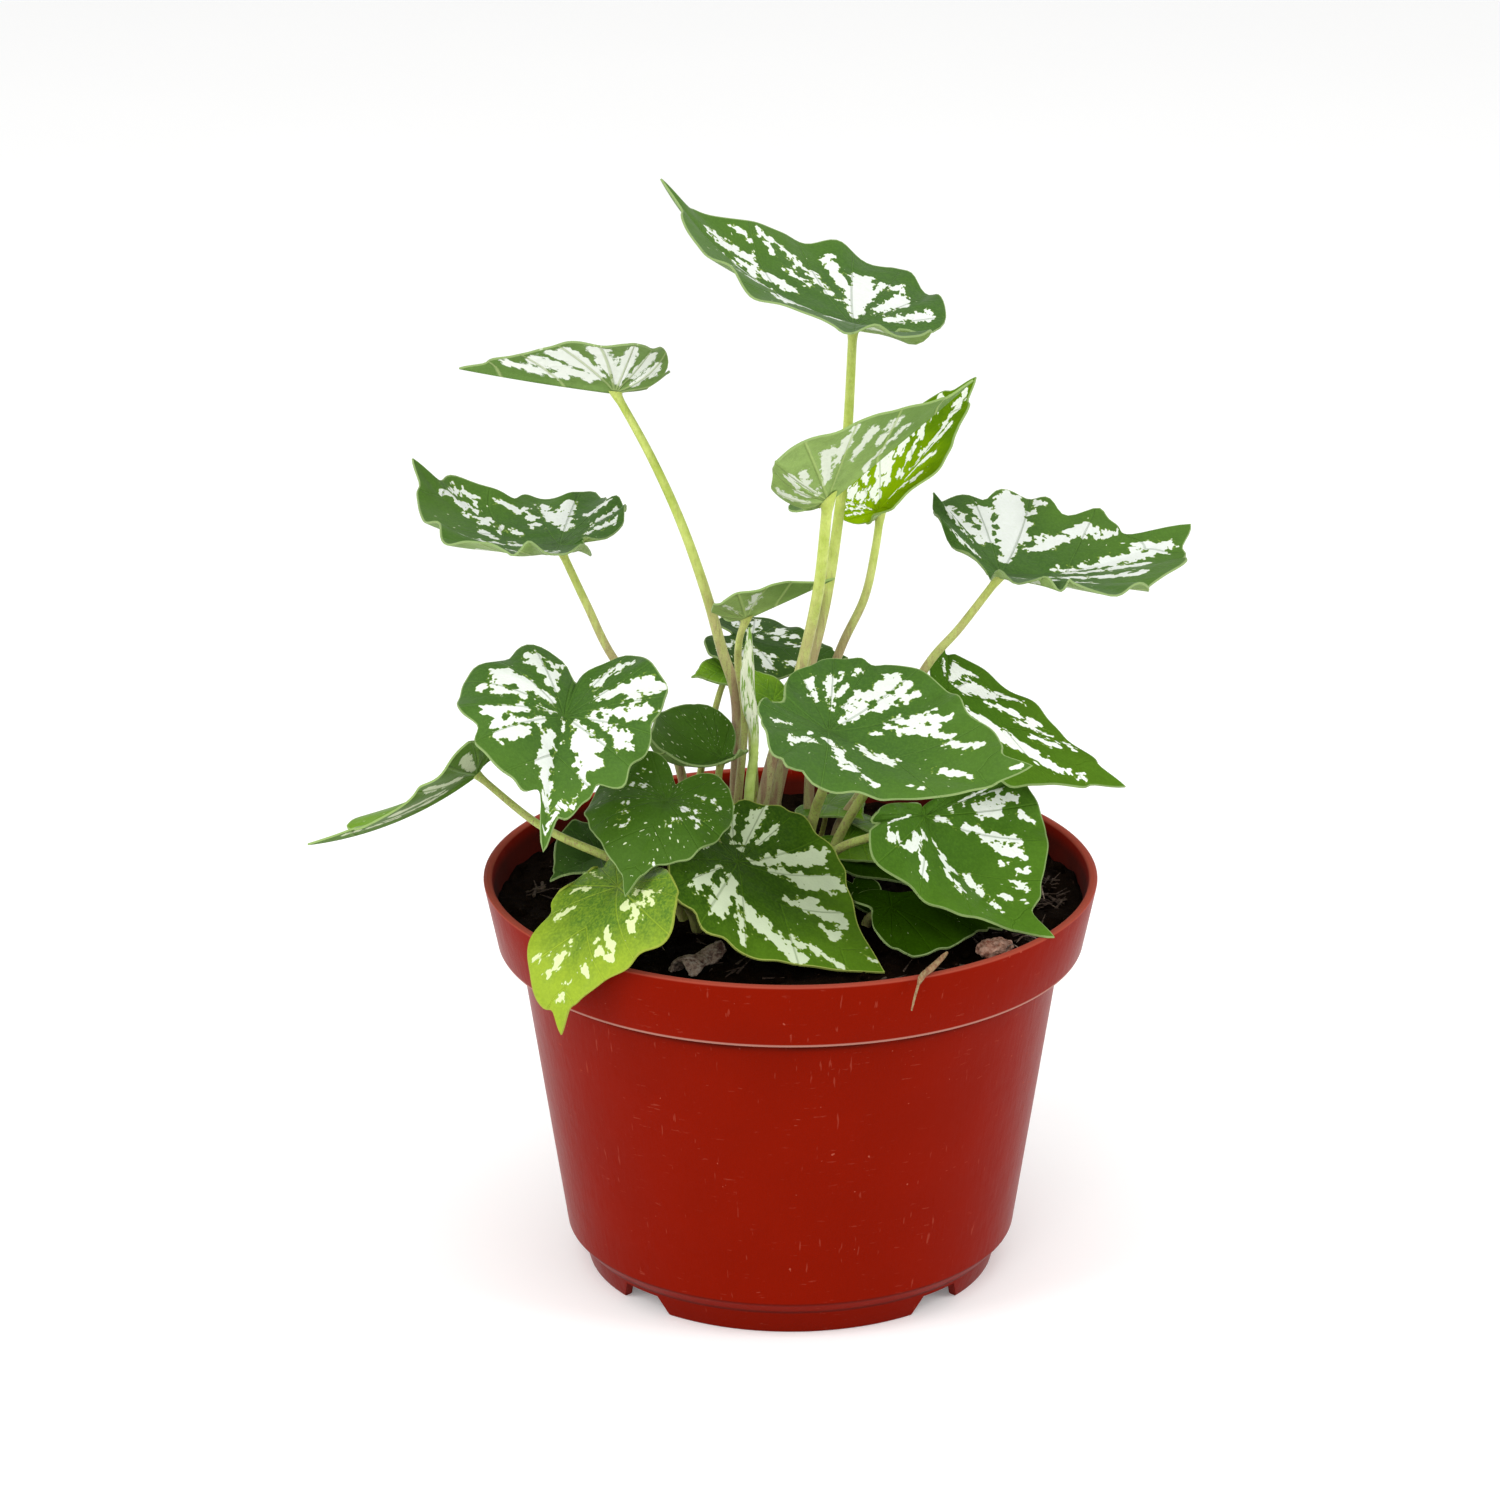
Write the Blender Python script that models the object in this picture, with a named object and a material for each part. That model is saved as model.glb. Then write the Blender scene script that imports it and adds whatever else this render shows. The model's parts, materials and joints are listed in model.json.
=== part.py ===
"""A young caladium in a red plastic nursery pot.

The pot is one moulded piece, filled with potting soil. Every leaf is a thin
heart-shaped blade on a stalk of its own, and the stalks stand in holes in the
soil. One rolled young leaf stands among them, and two chips of bark and a
straw lie loose. Lengths are in millimetres and angles in degrees until the
meshes are made.
"""
import math
from collections import namedtuple

import bmesh
import bpy
import numpy as np

for old in list(bpy.data.objects):
    bpy.data.objects.remove(old)

MM = 0.001
GAP = 0.3                 # clearance between pieces that touch

# Nursery pot, radii from its axis and heights above the ground
POT_HEIGHT = 93.5
RIM_TOP_RADIUS = 70.0
RIM_FOOT_RADIUS = 66.8    # lower edge of the rim band
RIM_BAND_HEIGHT = 15.5
BODY_TOP_RADIUS = 62.0
BODY_FOOT_RADIUS = 51.6
BODY_FOOT_HEIGHT = 9.0
FOOT_TOP_RADIUS = 48.3
FOOT_TOP_HEIGHT = 5.5
FOOT_RADIUS = 46.7
FOOT_WALL = 2.2
FLOOR_THICKNESS = 1.6
WALL = 1.5
LIP_WIDTH = 2.0
LIP_ROUND = 0.5
POT_STEPS = 64

# Notches between the four feet, and the drain holes behind them
NOTCH_ANGLES = (45.0, 135.0, 225.0, 315.0)
NOTCH_WIDTH_TOP = 10.0
NOTCH_WIDTH_FOOT = 17.0
NOTCH_HEIGHT = 4.6
DRAIN_RADIUS = 3.0
DRAIN_CENTRE = 38.0

# Soil
SOIL_HEIGHT = 87.0
SOIL_WAVE = 0.7           # height of the lumps in its surface
SOIL_RINGS = 5
STEM_DEPTH = 9.0          # how deep the stalks stand in it

# Leaves
BLADE = 0.7               # blade thickness
BLADE_WAVES_START = 0.35  # share of the radius inside which the blade is calm
SIDE_SHARE = 0.655        # half-width over length of a heart-shaped outline
TIP_ANGLE = 14.0          # how fast the outline narrows away from the tip
SINUS_SHARE = 0.385       # depth of the notch between the back lobes
SINUS_ANGLE = 18.0
OUTLINE_ANGLES = (0, 4, 10, 20, 33, 47, 62, 77, 92, 107, 121, 134, 146, 157, 167, 174)
STALK_SIDES = 7
STALK_STEP = 9.0          # length of one stalk segment

Leaf = namedtuple(
    "Leaf",
    "name joint heading pitch roll length width lobe fold curl bend back twist "
    "wave tint base stalk route",
)


def leaf(name, joint, heading, pitch, roll, length, base, stalk=(1.3, 0.9), route=(),
         width=(1.0, 1.0), lobe=0.7, fold=(10, 10), curl=(-15, -15), bend=20, back=15,
         twist=0, wave=(0.9, 9, 0), tint=(0.10, 0.24, 0.05)):
    """One leaf.

    joint is where the stalk meets the blade; heading, pitch and roll turn the
    midrib there. Pairs are for the left and right half. fold lifts a half at
    the midrib, curl goes on bending it to the margin, bend droops the midrib
    to its tip, back lifts the back lobes, and wave is the height, number and
    phase of the ripples in the margin. base is where the stalk leaves the
    soil, stalk its radius there and at the blade, and route what it passes.
    """
    return Leaf(name, joint, heading, pitch, roll, length, width, lobe, fold, curl, bend,
                back, twist, wave, tint, base, stalk, route)


DARK = (0.06, 0.17, 0.04)
FRESH = (0.16, 0.32, 0.06)
YELLOW = (0.32, 0.46, 0.08)

LEAVES = (
    leaf("01", (14, 7, 220.6), 169, 14, 15, 56, (-5, 11.5), (1.6, 1.0),
         ((12.8, 12, 194.8), (11.3, 12.5, 178.2), (8, 12, 154.8), (2.8, 11, 133), (-3.5, 11, 107)),
         lobe=0.62, fold=(7, 20), curl=(-10, 3), bend=-40, back=33, twist=-6,
         wave=(1.3, 10, 40)),
    leaf("02", (-39, 5, 206.5), 184, 8, 17, 35, (-14, 15.5), (1.6, 0.9),
         ((-31.4, 6, 191), (-24.8, 8, 175), (-19.3, 9.5, 158), (-15.5, 11, 143),
          (-12.2, 12.5, 129.4), (-12.7, 14.5, 105)),
         lobe=0.75, fold=(36, 16), curl=(-21, -25), bend=-3, back=95, twist=-3,
         wave=(0.5, 8, 0)),
    leaf("03", (-52, 10, 168.5), 160, -6, 16, 43, (-23.5, 16), (1.2, 0.9),
         ((-46, 10.5, 154), (-40.3, 12, 141), (-29, 14, 124), (-24, 15.5, 106)),
         width=(1.05, 1.0), lobe=0.5, fold=(-12, 24), curl=(23, -2), bend=-53, back=26,
         wave=(1.5, 10, 60)),
    leaf("04", (8, -14, 187.2), 5, 39, -28, 42, (-9, 4), (1.5, 1.2),
         ((6, -9, 163), (1.2, -3, 139), (-3, 1, 124.5), (-6.2, 3, 110)),
         width=(0.62, 1.05), lobe=0.48, fold=(7, 13), curl=(9, 7), bend=-1, back=210,
         twist=8, wave=(0.5, 8, 0), tint=FRESH),
    leaf("05", (20, 16, 174.6), 30, 46, -24, 38, (4, 17), (1.3, 0.9),
         ((19.1, 16, 165), (16.7, 16, 153.7), (10.8, 16, 140), (5, 16.5, 118)),
         lobe=0.25, fold=(17, 14), curl=(-12, -15), bend=-3, back=20, twist=26,
         wave=(0.5, 8, 0), tint=YELLOW),
    leaf("06", (47.2, 8, 162.3), 25, -11, -20, 54, (10, 14), (1.3, 0.9),
         ((38.6, 10, 149.2), (29.8, 12, 137), (18, 13.5, 111), (11, 14, 99)),
         width=(1.0, 0.95), lobe=0.22, fold=(38, -10), curl=(-9, 5), bend=-31, back=11,
         twist=11, wave=(1.4, 11, 20)),
    leaf("07", (-50, -26, 140.2), -99, -21, 11, 37, (-23, 5), (1.3, 0.9),
         ((-46, -15, 134), (-37, -3, 124), (-27, 3, 107)),
         width=(0.91, 1.02), lobe=1.05, fold=(5, 50), curl=(-18, -50), bend=20, back=-27,
         twist=-18, wave=(0.9, 9, 20)),
    leaf("08", (-71.4, -4, 119.2), 203.5, -32, 24, 42, (-24, -15), (1.2, 0.8),
         ((-59.3, -10, 110.7), (-51.4, -17, 108.4), (-40.6, -20, 104.5), (-29, -18, 97)),
         lobe=0.39, fold=(12, 12), curl=(8, -30), bend=-30, back=120, twist=-8,
         wave=(0.8, 9, 0)),
    leaf("09", (-15.7, 0, 121), 200, -11, -29, 26, (-17, 4), (1.1, 0.8),
         ((-16.5, 2, 114), (-17, 3.5, 100)),
         width=(1.0, 1.07), lobe=0.42, fold=(41, 3), curl=(27, -11), bend=-86, back=63,
         twist=-14, wave=(0.4, 8, 0), tint=DARK),
    leaf("10", (-27.3, -34, 123.4), -108, -10, -11, 28, (-19, -9), (1.2, 0.9),
         ((-25, -19, 111), (-21, -12, 99)),
         width=(0.83, 1.01), lobe=0.9, fold=(5, 11), curl=(-33, -54), bend=46, back=32,
         twist=10, wave=(0.6, 9, 0)),
    leaf("11", (-38, -43, 106.5), -142, -30, 20, 36, (-21, -20.5), (1.2, 0.9),
         ((-31, -33, 101), (-23.5, -24, 95)),
         width=(1.0, 0.88), lobe=0.35, fold=(3, 18), curl=(-25, -18), bend=52, back=10, twist=-28,
         wave=(0.6, 9, 0), tint=YELLOW),
    leaf("12", (-43, -8, 100.3), 227, 3, -11, 16, (-30, -4), (1.0, 0.8),
         ((-39.5, -7, 96.5), (-33.5, -5, 94)),
         fold=(22, 26), curl=(0, 0), bend=17, wave=(0.4, 7, 0), tint=DARK),
    leaf("13", (-11.7, -31, 107.8), -30, -41, -11, 42, (-4, -14), (1.3, 0.9),
         ((-11.5, -28, 104), (-6.5, -19, 95)),
         width=(1.0, 0.97), lobe=0.5, fold=(2, 0), curl=(30, -20), bend=-26, twist=19,
         back=0, wave=(0.7, 10, 0)),
    leaf("14", (8.4, -40, 142), -21, -23, 7, 49, (2, -2), (1.4, 1.0),
         ((8.0, -31, 131), (7.4, -19, 121), (5.6, -8.5, 111.5), (3.2, -4, 99)),
         width=(0.91, 0.75), lobe=0.57, fold=(6, 11), curl=(8, -10), bend=-44, back=37,
         twist=24, wave=(1.0, 11, 0)),
    leaf("15", (35.8, 10, 133.4), -4, -35, 4, 46, (8, 6), (1.3, 0.9),
         ((29, 7, 126), (19, 4.5, 114), (11, 5, 100)),
         width=(0.8, 1.0), lobe=0.25, fold=(-2, 4), curl=(0, -5), bend=-14, back=19,
         twist=12, wave=(0.8, 10, 0)),
    leaf("16", (30, -18, 113.8), -46, -57, -13, 45, (6, -8), (1.2, 0.9),
         ((26, -15, 111), (19.3, -12, 107), (9.2, -9, 101)),
         width=(1.05, 1.0), lobe=0.16, fold=(20, 22), curl=(-9, -28), bend=-60, back=13,
         twist=11, wave=(0.9, 10, 0)),
    leaf("17", (22.5, -31.5, 97.2), 16, -1, 0, 28, (17, -19), (1.1, 0.8),
         ((21.5, -28, 94), (18.8, -22.5, 91.8)),
         lobe=0.4, fold=(0, -3), curl=(-18, -24), bend=33, back=1, wave=(0.4, 9, 0),
         tint=DARK),
    leaf("18", (-10, 0, 155), -7, 26, -15, 22.5, (-13.5, 9.5), (1.1, 0.8),
         ((-11.5, 1.5, 149), (-11.8, 5, 141), (-10.4, 8, 128), (-12, 8.5, 108)),
         width=(1.0, 0.97), lobe=0.57, fold=(8, 28), curl=(-11, -15), bend=-1, back=110,
         twist=-1, wave=(0.4, 8, 0), tint=FRESH),
    leaf("19", (-8.9, 31, 138.7), -11, -14, 7, 23, (-8, 23), (1.2, 0.9),
         ((-9.2, 29.5, 130), (-8.6, 26, 110)),
         width=(0.89, 0.92), lobe=0.79, fold=(-2, -5), curl=(-4, 1), bend=-15, back=2, twist=10,
         wave=(0.5, 9, 0), tint=DARK),
    leaf("20", (-14.5, 20, 134.7), 205, 10, -17, 9, (-22, 21), (1.0, 0.7),
         ((-17, 19, 127), (-21, 20.5, 108)),
         lobe=0.8, wave=(0.2, 7, 0), tint=FRESH),
    leaf("21", (-4, 7, 132.5), 147, 58, -5, 9, (-2, 22.5), (1.0, 0.7),
         ((-4.3, 10.5, 125.5), (-3.5, 17, 111)),
         lobe=0.85, wave=(0.2, 7, 0), tint=FRESH),
)

# The rolled young leaf stands on a stalk that leaves the soil among the others
YOUNG_BASE = (-11, -6)
YOUNG_ROUTE = ((-9.4, -6.5, 115.5), (-7.9, -5.5, 127.5), (-9.4, -4, 138), (-9.3, -4, 147),
               (-9.1, -4, 153.5))
YOUNG_WIDTH = ((0, 1.2), (0.55, 1.0), (0.7, 1.1), (0.77, 2.0), (0.87, 1.7), (1, 0.5))

# Chips of bark and a straw: centre, heading, length, width, thickness
BARK = (
    ("bark_1", (-20, -44), 55, 13.0, 6.0, 2.2),
    ("bark_2", (45.5, -34), 20, 8.5, 5.0, 2.6),
)
STRAW_POINTS = ((33.5, -55.0, 94.4), (31.0, -61.0, 94.5), (28.6, -65.3, 94.2),
                (27.2, -67.5, 91.0), (26.4, -67.6, 87.2))
STRAW_RADIUS = 0.55

RED = (0.29, 0.022, 0.010)
SOIL_BROWN = (0.018, 0.011, 0.008)
STALK_GREEN = (0.36, 0.44, 0.16)
BARK_BROWN = (0.19, 0.12, 0.08)
STRAW_BROWN = (0.34, 0.24, 0.13)


def make_material(name, colour, roughness):
    material = bpy.data.materials.new(name)
    material.use_nodes = True
    shader = material.node_tree.nodes["Principled BSDF"]
    shader.inputs["Base Color"].default_value = (*colour, 1.0)
    shader.inputs["Roughness"].default_value = roughness
    shader.inputs["Metallic"].default_value = 0.0
    return material


def add_object(name, mesh, material, smooth_angle=None):
    thing = bpy.data.objects.new(name, mesh)
    bpy.context.collection.objects.link(thing)
    mesh.materials.clear()
    mesh.materials.append(material)
    if smooth_angle is not None:
        mesh.shade_smooth()
        mesh.set_sharp_from_angle(angle=math.radians(smooth_angle))
    return thing


def mesh_from(name, points, faces):
    mesh = bpy.data.meshes.new(name)
    mesh.from_pydata([tuple(p) for p in np.asarray(points) * MM], [], faces)
    mesh.update()
    return mesh


def apply_modifiers(thing):
    """Bakes an object's modifiers into its mesh."""
    depsgraph = bpy.context.evaluated_depsgraph_get()
    mesh = bpy.data.meshes.new_from_object(thing.evaluated_get(depsgraph))
    thing.modifiers.clear()
    thing.data = mesh


def add_boolean(thing, cutter, name):
    cutter.hide_render = True
    cutter.display_type = "WIRE"
    cut = thing.modifiers.new(name, "BOOLEAN")
    cut.operation = "DIFFERENCE"
    cut.object = cutter
    return cut


# Nursery pot
def pot_profile():
    """Radius and height from the middle of the inner floor, over the rim, to below."""
    floor_top = FOOT_TOP_HEIGHT + FLOOR_THICKNESS
    rim_foot = POT_HEIGHT - RIM_BAND_HEIGHT
    inner = (
        (0.0, floor_top),
        (FOOT_TOP_RADIUS - WALL, floor_top),
        (BODY_FOOT_RADIUS - WALL, BODY_FOOT_HEIGHT + 1.0),
        (BODY_TOP_RADIUS - WALL, rim_foot),
        (RIM_FOOT_RADIUS - WALL, rim_foot + WALL),
        (RIM_TOP_RADIUS - LIP_WIDTH, POT_HEIGHT - LIP_ROUND),
        (RIM_TOP_RADIUS - LIP_WIDTH + LIP_ROUND, POT_HEIGHT),
    )
    outer = (
        (RIM_TOP_RADIUS - LIP_ROUND, POT_HEIGHT),
        (RIM_TOP_RADIUS, POT_HEIGHT - LIP_ROUND),
        (RIM_FOOT_RADIUS, rim_foot),
        (BODY_TOP_RADIUS, rim_foot - 0.2),
        (BODY_FOOT_RADIUS, BODY_FOOT_HEIGHT),
        (FOOT_TOP_RADIUS, FOOT_TOP_HEIGHT),
        (FOOT_RADIUS, 0.0),
        (FOOT_RADIUS - FOOT_WALL, 0.0),
        (FOOT_TOP_RADIUS - FOOT_WALL, FOOT_TOP_HEIGHT),
        (0.0, FOOT_TOP_HEIGHT),
    )
    return inner + outer


def notch_cutter(angle):
    """A wedge through the foot ring, narrower at its top."""
    inner, outer = FOOT_RADIUS - 3 * FOOT_WALL, FOOT_TOP_RADIUS + 2.0
    points = []
    for height, width in ((-1.0, NOTCH_WIDTH_FOOT), (NOTCH_HEIGHT, NOTCH_WIDTH_TOP)):
        for x, side in ((inner, -1), (outer, -1), (outer, 1), (inner, 1)):
            points.append((x, side * width / 2, height))
    faces = [(3, 2, 1, 0), (4, 5, 6, 7), (0, 1, 5, 4), (1, 2, 6, 5), (2, 3, 7, 6), (3, 0, 4, 7)]
    return turned(points, angle), faces


def turned(points, angle):
    """Points turned about the pot's axis."""
    a = math.radians(angle)
    return [(x * math.cos(a) - y * math.sin(a), x * math.sin(a) + y * math.cos(a), z)
            for x, y, z in points]


def build_pot():
    profile = [(x, 0.0, z) for x, z in pot_profile()]
    edges = [(i, i + 1) for i in range(len(profile) - 1)]
    mesh = bpy.data.meshes.new("pot")
    mesh.from_pydata([tuple(c * MM for c in p) for p in profile], edges, [])
    pot = add_object("pot", mesh, make_material("pot_plastic", RED, 0.35))
    screw = pot.modifiers.new("turn", "SCREW")
    screw.steps = POT_STEPS
    screw.render_steps = POT_STEPS
    screw.use_merge_vertices = True
    screw.merge_threshold = 0.0001
    drain = cylinder_mesh("drain", DRAIN_RADIUS, FOOT_TOP_HEIGHT - 1.0,
                          FOOT_TOP_HEIGHT + FLOOR_THICKNESS + 1.0, 12)
    for number, angle in enumerate(NOTCH_ANGLES):
        points, faces = notch_cutter(angle)
        wedge = add_object(f"notch_cutter_{number}", mesh_from("notch", points, faces),
                           pot.active_material)
        add_boolean(pot, wedge, f"notch_{number}")
        hole = add_object(f"drain_cutter_{number}", drain.copy(), pot.active_material)
        hole.location = [c * MM for c in turned([(DRAIN_CENTRE, 0.0, 0.0)], angle)[0]]
        add_boolean(pot, hole, f"drain_{number}")
    return pot


def cylinder_mesh(name, radius, low, high, sides):
    """An upright cylinder on the Z axis between two heights."""
    ring = [(radius * math.cos(2 * math.pi * i / sides),
             radius * math.sin(2 * math.pi * i / sides)) for i in range(sides)]
    points = [(x, y, low) for x, y in ring] + [(x, y, high) for x, y in ring]
    faces = [tuple(reversed(range(sides))), tuple(range(sides, 2 * sides))]
    for i in range(sides):
        j = (i + 1) % sides
        faces.append((i, j, j + sides, i + sides))
    return mesh_from(name, points, faces)


# Soil
def soil_surface(x, y):
    """Height of the soil: low lumps, a little higher round the stems."""
    lumps = math.sin(0.17 * x + 1.0) * math.cos(0.21 * y) + 0.6 * math.sin(0.31 * y - 0.23 * x)
    mound = math.exp(-(x * x + y * y) / 900.0)
    return SOIL_HEIGHT + SOIL_WAVE * lumps + 1.2 * mound


def inner_radius(height):
    """Radius of the pot's inner wall at a height."""
    profile = sorted(pot_profile()[1:6], key=lambda p: p[1])
    return float(np.interp(height, [p[1] for p in profile], [p[0] for p in profile]))


def build_soil(stems):
    """The soil fills the pot and has a plain hole for every stem."""
    floor_top = FOOT_TOP_HEIGHT + FLOOR_THICKNESS + GAP
    rim_foot = POT_HEIGHT - RIM_BAND_HEIGHT
    walls = [(FOOT_TOP_RADIUS - WALL - GAP, floor_top),
             (BODY_FOOT_RADIUS - WALL - GAP, BODY_FOOT_HEIGHT + 1.0),
             (BODY_TOP_RADIUS - WALL - 1.2 * GAP, rim_foot),
             (RIM_FOOT_RADIUS - WALL - 1.5 * GAP, rim_foot + WALL + GAP)]
    edge = inner_radius(SOIL_HEIGHT) - 1.5 * GAP
    steps = POT_STEPS // 2
    points = [(0.0, 0.0, floor_top)]
    for radius, height in walls:
        points += turned_ring(radius, steps, lambda x, y, h=height: h)
    for ring in range(SOIL_RINGS):
        radius = edge * (SOIL_RINGS - ring) / SOIL_RINGS
        points += turned_ring(radius, steps, soil_surface)
    points.append((0.0, 0.0, soil_surface(0.0, 0.0)))
    rings = len(walls) + SOIL_RINGS
    top = len(points) - 1
    faces = []
    for i in range(steps):
        j = (i + 1) % steps
        faces.append((0, 1 + j, 1 + i))
        for ring in range(rings - 1):
            a, b = 1 + ring * steps, 1 + (ring + 1) * steps
            faces += [(a + i, a + j, b + j), (a + i, b + j, b + i)]
        last = 1 + (rings - 1) * steps
        faces.append((last + i, last + j, top))
    soil = add_object("soil", mesh_from("soil", points, faces),
                      make_material("peat", SOIL_BROWN, 0.95))
    for number, (base, radius, under) in enumerate(stems):
        hole = add_object(f"stem_hole_{number}", stem_hole(base, under, radius + 1.5 * GAP),
                          soil.active_material)
        add_boolean(soil, hole, f"stem_{number}")
    return soil


def turned_ring(radius, steps, height):
    """A ring whose corners touch the pot's faceted wall, height given at each point."""
    ring = []
    for i in range(steps):
        a = 2 * math.pi * i / steps
        x, y = radius * math.cos(a), radius * math.sin(a)
        ring.append((x, y, height(x, y)))
    return ring


def stem_hole(base, under, radius):
    """A slanted hole from below the stem's foot to above the soil."""
    axis = np.array(base) - np.array(under)
    axis /= np.linalg.norm(axis)
    centres = [np.array(under) - 0.4 * axis, np.array(base) + 5.0 * axis]
    points, faces = tube(centres, [radius, radius], 8)
    return mesh_from("stem_hole", points, faces)


# Leaves
def outline_radius(angle):
    """Radius of the heart shape over its length, at an angle from the tip."""
    a = np.abs(angle)
    tip = (1 - SIDE_SHARE) * np.exp(-a / TIP_ANGLE)
    sinus = SINUS_SHARE * np.exp(-((180 - a) / SINUS_ANGLE) ** 2)
    return SIDE_SHARE + tip - sinus


def arc(distance, start, curvature):
    """How far a curved strip goes along and up, from a starting slope."""
    safe = np.where(np.abs(curvature) < 1e-6, 1e-6, curvature)
    end = start + safe * distance
    return (np.sin(end) - np.sin(start)) / safe, (np.cos(start) - np.cos(end)) / safe


def blade_frame(it):
    """Directions of the midrib, of the left half and of the upper side at the joint."""
    heading, pitch, roll = (math.radians(a) for a in (it.heading, it.pitch, it.roll))
    along = np.array((math.cos(heading) * math.cos(pitch),
                      math.sin(heading) * math.cos(pitch), math.sin(pitch)))
    level = np.array((-math.sin(heading), math.cos(heading), 0.0))
    above = np.cross(along, level)
    side = level * math.cos(roll) + above * math.sin(roll)
    up = above * math.cos(roll) - level * math.sin(roll)
    return along, side, up


def blade_points(it, angle, reach):
    """Points of a blade's middle surface, reach running from 0 at the joint to 1."""
    radius = outline_radius(angle) * it.length
    turn = np.radians(angle)
    u = reach * radius * np.cos(turn)
    v = reach * radius * np.sin(turn)
    u = np.where(u < 0, u * it.lobe, u)
    left = v > 0
    v = v * np.where(left, *it.width)

    # across the blade: a fold at the midrib that goes on as a curl
    half = SIDE_SHARE * it.length
    fold = np.radians(np.where(left, *it.fold))
    curl = np.radians(np.where(left, *it.curl)) / half
    across, lift = arc(np.abs(v), fold, curl)
    height, number, phase = it.wave
    calm = np.clip((reach - BLADE_WAVES_START) / (1 - BLADE_WAVES_START), 0, 1)
    ripple = height * calm ** 2 * np.sin(np.radians(number * angle + phase))
    across = np.sign(v) * across
    lift = lift + ripple

    # twist about the midrib, then bend along it
    twist = np.radians(it.twist) * np.clip(u / it.length, -1, 1)
    side = across * np.cos(twist) - lift * np.sin(twist)
    rise = across * np.sin(twist) + lift * np.cos(twist)
    bend = np.radians(np.where(u > 0, -it.bend, it.back)) / it.length
    run, drop = arc(u, 0.0, bend)
    run = run - rise * np.sin(bend * u)
    rise = drop + rise * np.cos(bend * u)

    along, sideways, up = blade_frame(it)
    return (np.array(it.joint) + run[..., None] * along + side[..., None] * sideways
            + rise[..., None] * up)


def build_blade(it):
    rings = 4 if it.length > 25 else 3
    angles = np.array(OUTLINE_ANGLES + (180,) + tuple(-a for a in OUTLINE_ANGLES[:0:-1]), float)
    count = len(angles)
    points = [np.array(it.joint, float)]
    for ring in range(1, rings + 1):
        points += list(blade_points(it, angles, np.full(count, ring / rings)))
    faces = [(0, 1 + i, 1 + (i + 1) % count) for i in range(count)]
    for ring in range(rings - 1):
        a, b = 1 + ring * count, 1 + (ring + 1) * count
        for i in range(count):
            j = (i + 1) % count
            faces += [(a + i, b + i, b + j), (a + i, b + j, a + j)]
    blade = add_object(f"leaf_{it.name}_blade", mesh_from("blade", points, faces),
                       make_material(f"leaf_{it.name}_green", it.tint, 0.45))
    thicken = blade.modifiers.new("thickness", "SOLIDIFY")
    thicken.thickness = BLADE * MM
    thicken.offset = 0.0
    apply_modifiers(blade)
    blade.data.materials.clear()
    blade.data.materials.append(bpy.data.materials[f"leaf_{it.name}_green"])
    blade.data.shade_smooth()
    blade.data.set_sharp_from_angle(angle=math.radians(60))
    return blade


# Stalks
def smooth_route(points, step):
    """Even points on a Catmull-Rom curve through the given ones."""
    p = [np.array(q, float) for q in points]
    p = [2 * p[0] - p[1]] + p + [2 * p[-1] - p[-2]]
    route = []
    for a, b, c, d in zip(p, p[1:], p[2:], p[3:]):
        pieces = max(1, round(float(np.linalg.norm(c - b)) / step))
        for i in range(pieces):
            t = i / pieces
            route.append(0.5 * (2 * b + (c - a) * t + (2 * a - 5 * b + 4 * c - d) * t * t
                                + (3 * b - a - 3 * c + d) * t ** 3))
    route.append(p[-2])
    return route


def tube(centres, radii, sides, end_plane=None):
    """A closed tube; its last ring can lie in a plane, given as a point and a normal."""
    count = len(centres)
    tangents = [centres[min(i + 1, count - 1)] - centres[max(i - 1, 0)] for i in range(count)]
    tangents = [t / np.linalg.norm(t) for t in tangents]
    across = np.cross(tangents[0], (0.0, 1.0, 0.0))
    points = []
    for i, (centre, radius) in enumerate(zip(centres, radii)):
        across = across - tangents[i] * across.dot(tangents[i])
        across /= np.linalg.norm(across)
        other = np.cross(tangents[i], across)
        for k in range(sides):
            a = 2 * math.pi * k / sides
            point = centre + radius * (math.cos(a) * across + math.sin(a) * other)
            if end_plane is not None and i == count - 1:
                origin, normal = end_plane
                point = point + tangents[i] * ((origin - point).dot(normal)
                                               / tangents[i].dot(normal))
            points.append(point)
    faces = [tuple(reversed(range(sides))), tuple(range((count - 1) * sides, count * sides))]
    for i in range(count - 1):
        for k in range(sides):
            a, b = i * sides + k, i * sides + (k + 1) % sides
            faces.append((a, b, b + sides, a + sides))
    return points, faces


def stem_feet(base, above):
    """Where a stem leaves the soil and its foot below, in line with its first stretch."""
    top = np.array((base[0], base[1], soil_surface(*base)))
    lean = (np.array(above, float) - top) / 3.0
    under = top - np.array((lean[0], lean[1], 0.0)) * (STEM_DEPTH / max(lean[2], 8.0))
    under[2] = top[2] - STEM_DEPTH
    return top, under


def build_stalk(it):
    """The stalk rises from the soil and ends flat under the blade."""
    _, _, up = blade_frame(it)
    seat = np.array(it.joint) - up * (BLADE / 2 + GAP + 0.1)
    top, under = stem_feet(it.base, it.route[-1])
    route = smooth_route([under, top] + list(reversed(it.route)) + [seat], STALK_STEP)
    low, high = it.stalk
    radii = [low + (high - low) * i / (len(route) - 1) for i in range(len(route))]
    points, faces = tube(route, radii, STALK_SIDES, (seat, up))
    stalk = add_object(f"leaf_{it.name}_stalk", mesh_from("stalk", points, faces),
                       STALK_MATERIAL, 50)
    return stalk, (top, low, under)


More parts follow.
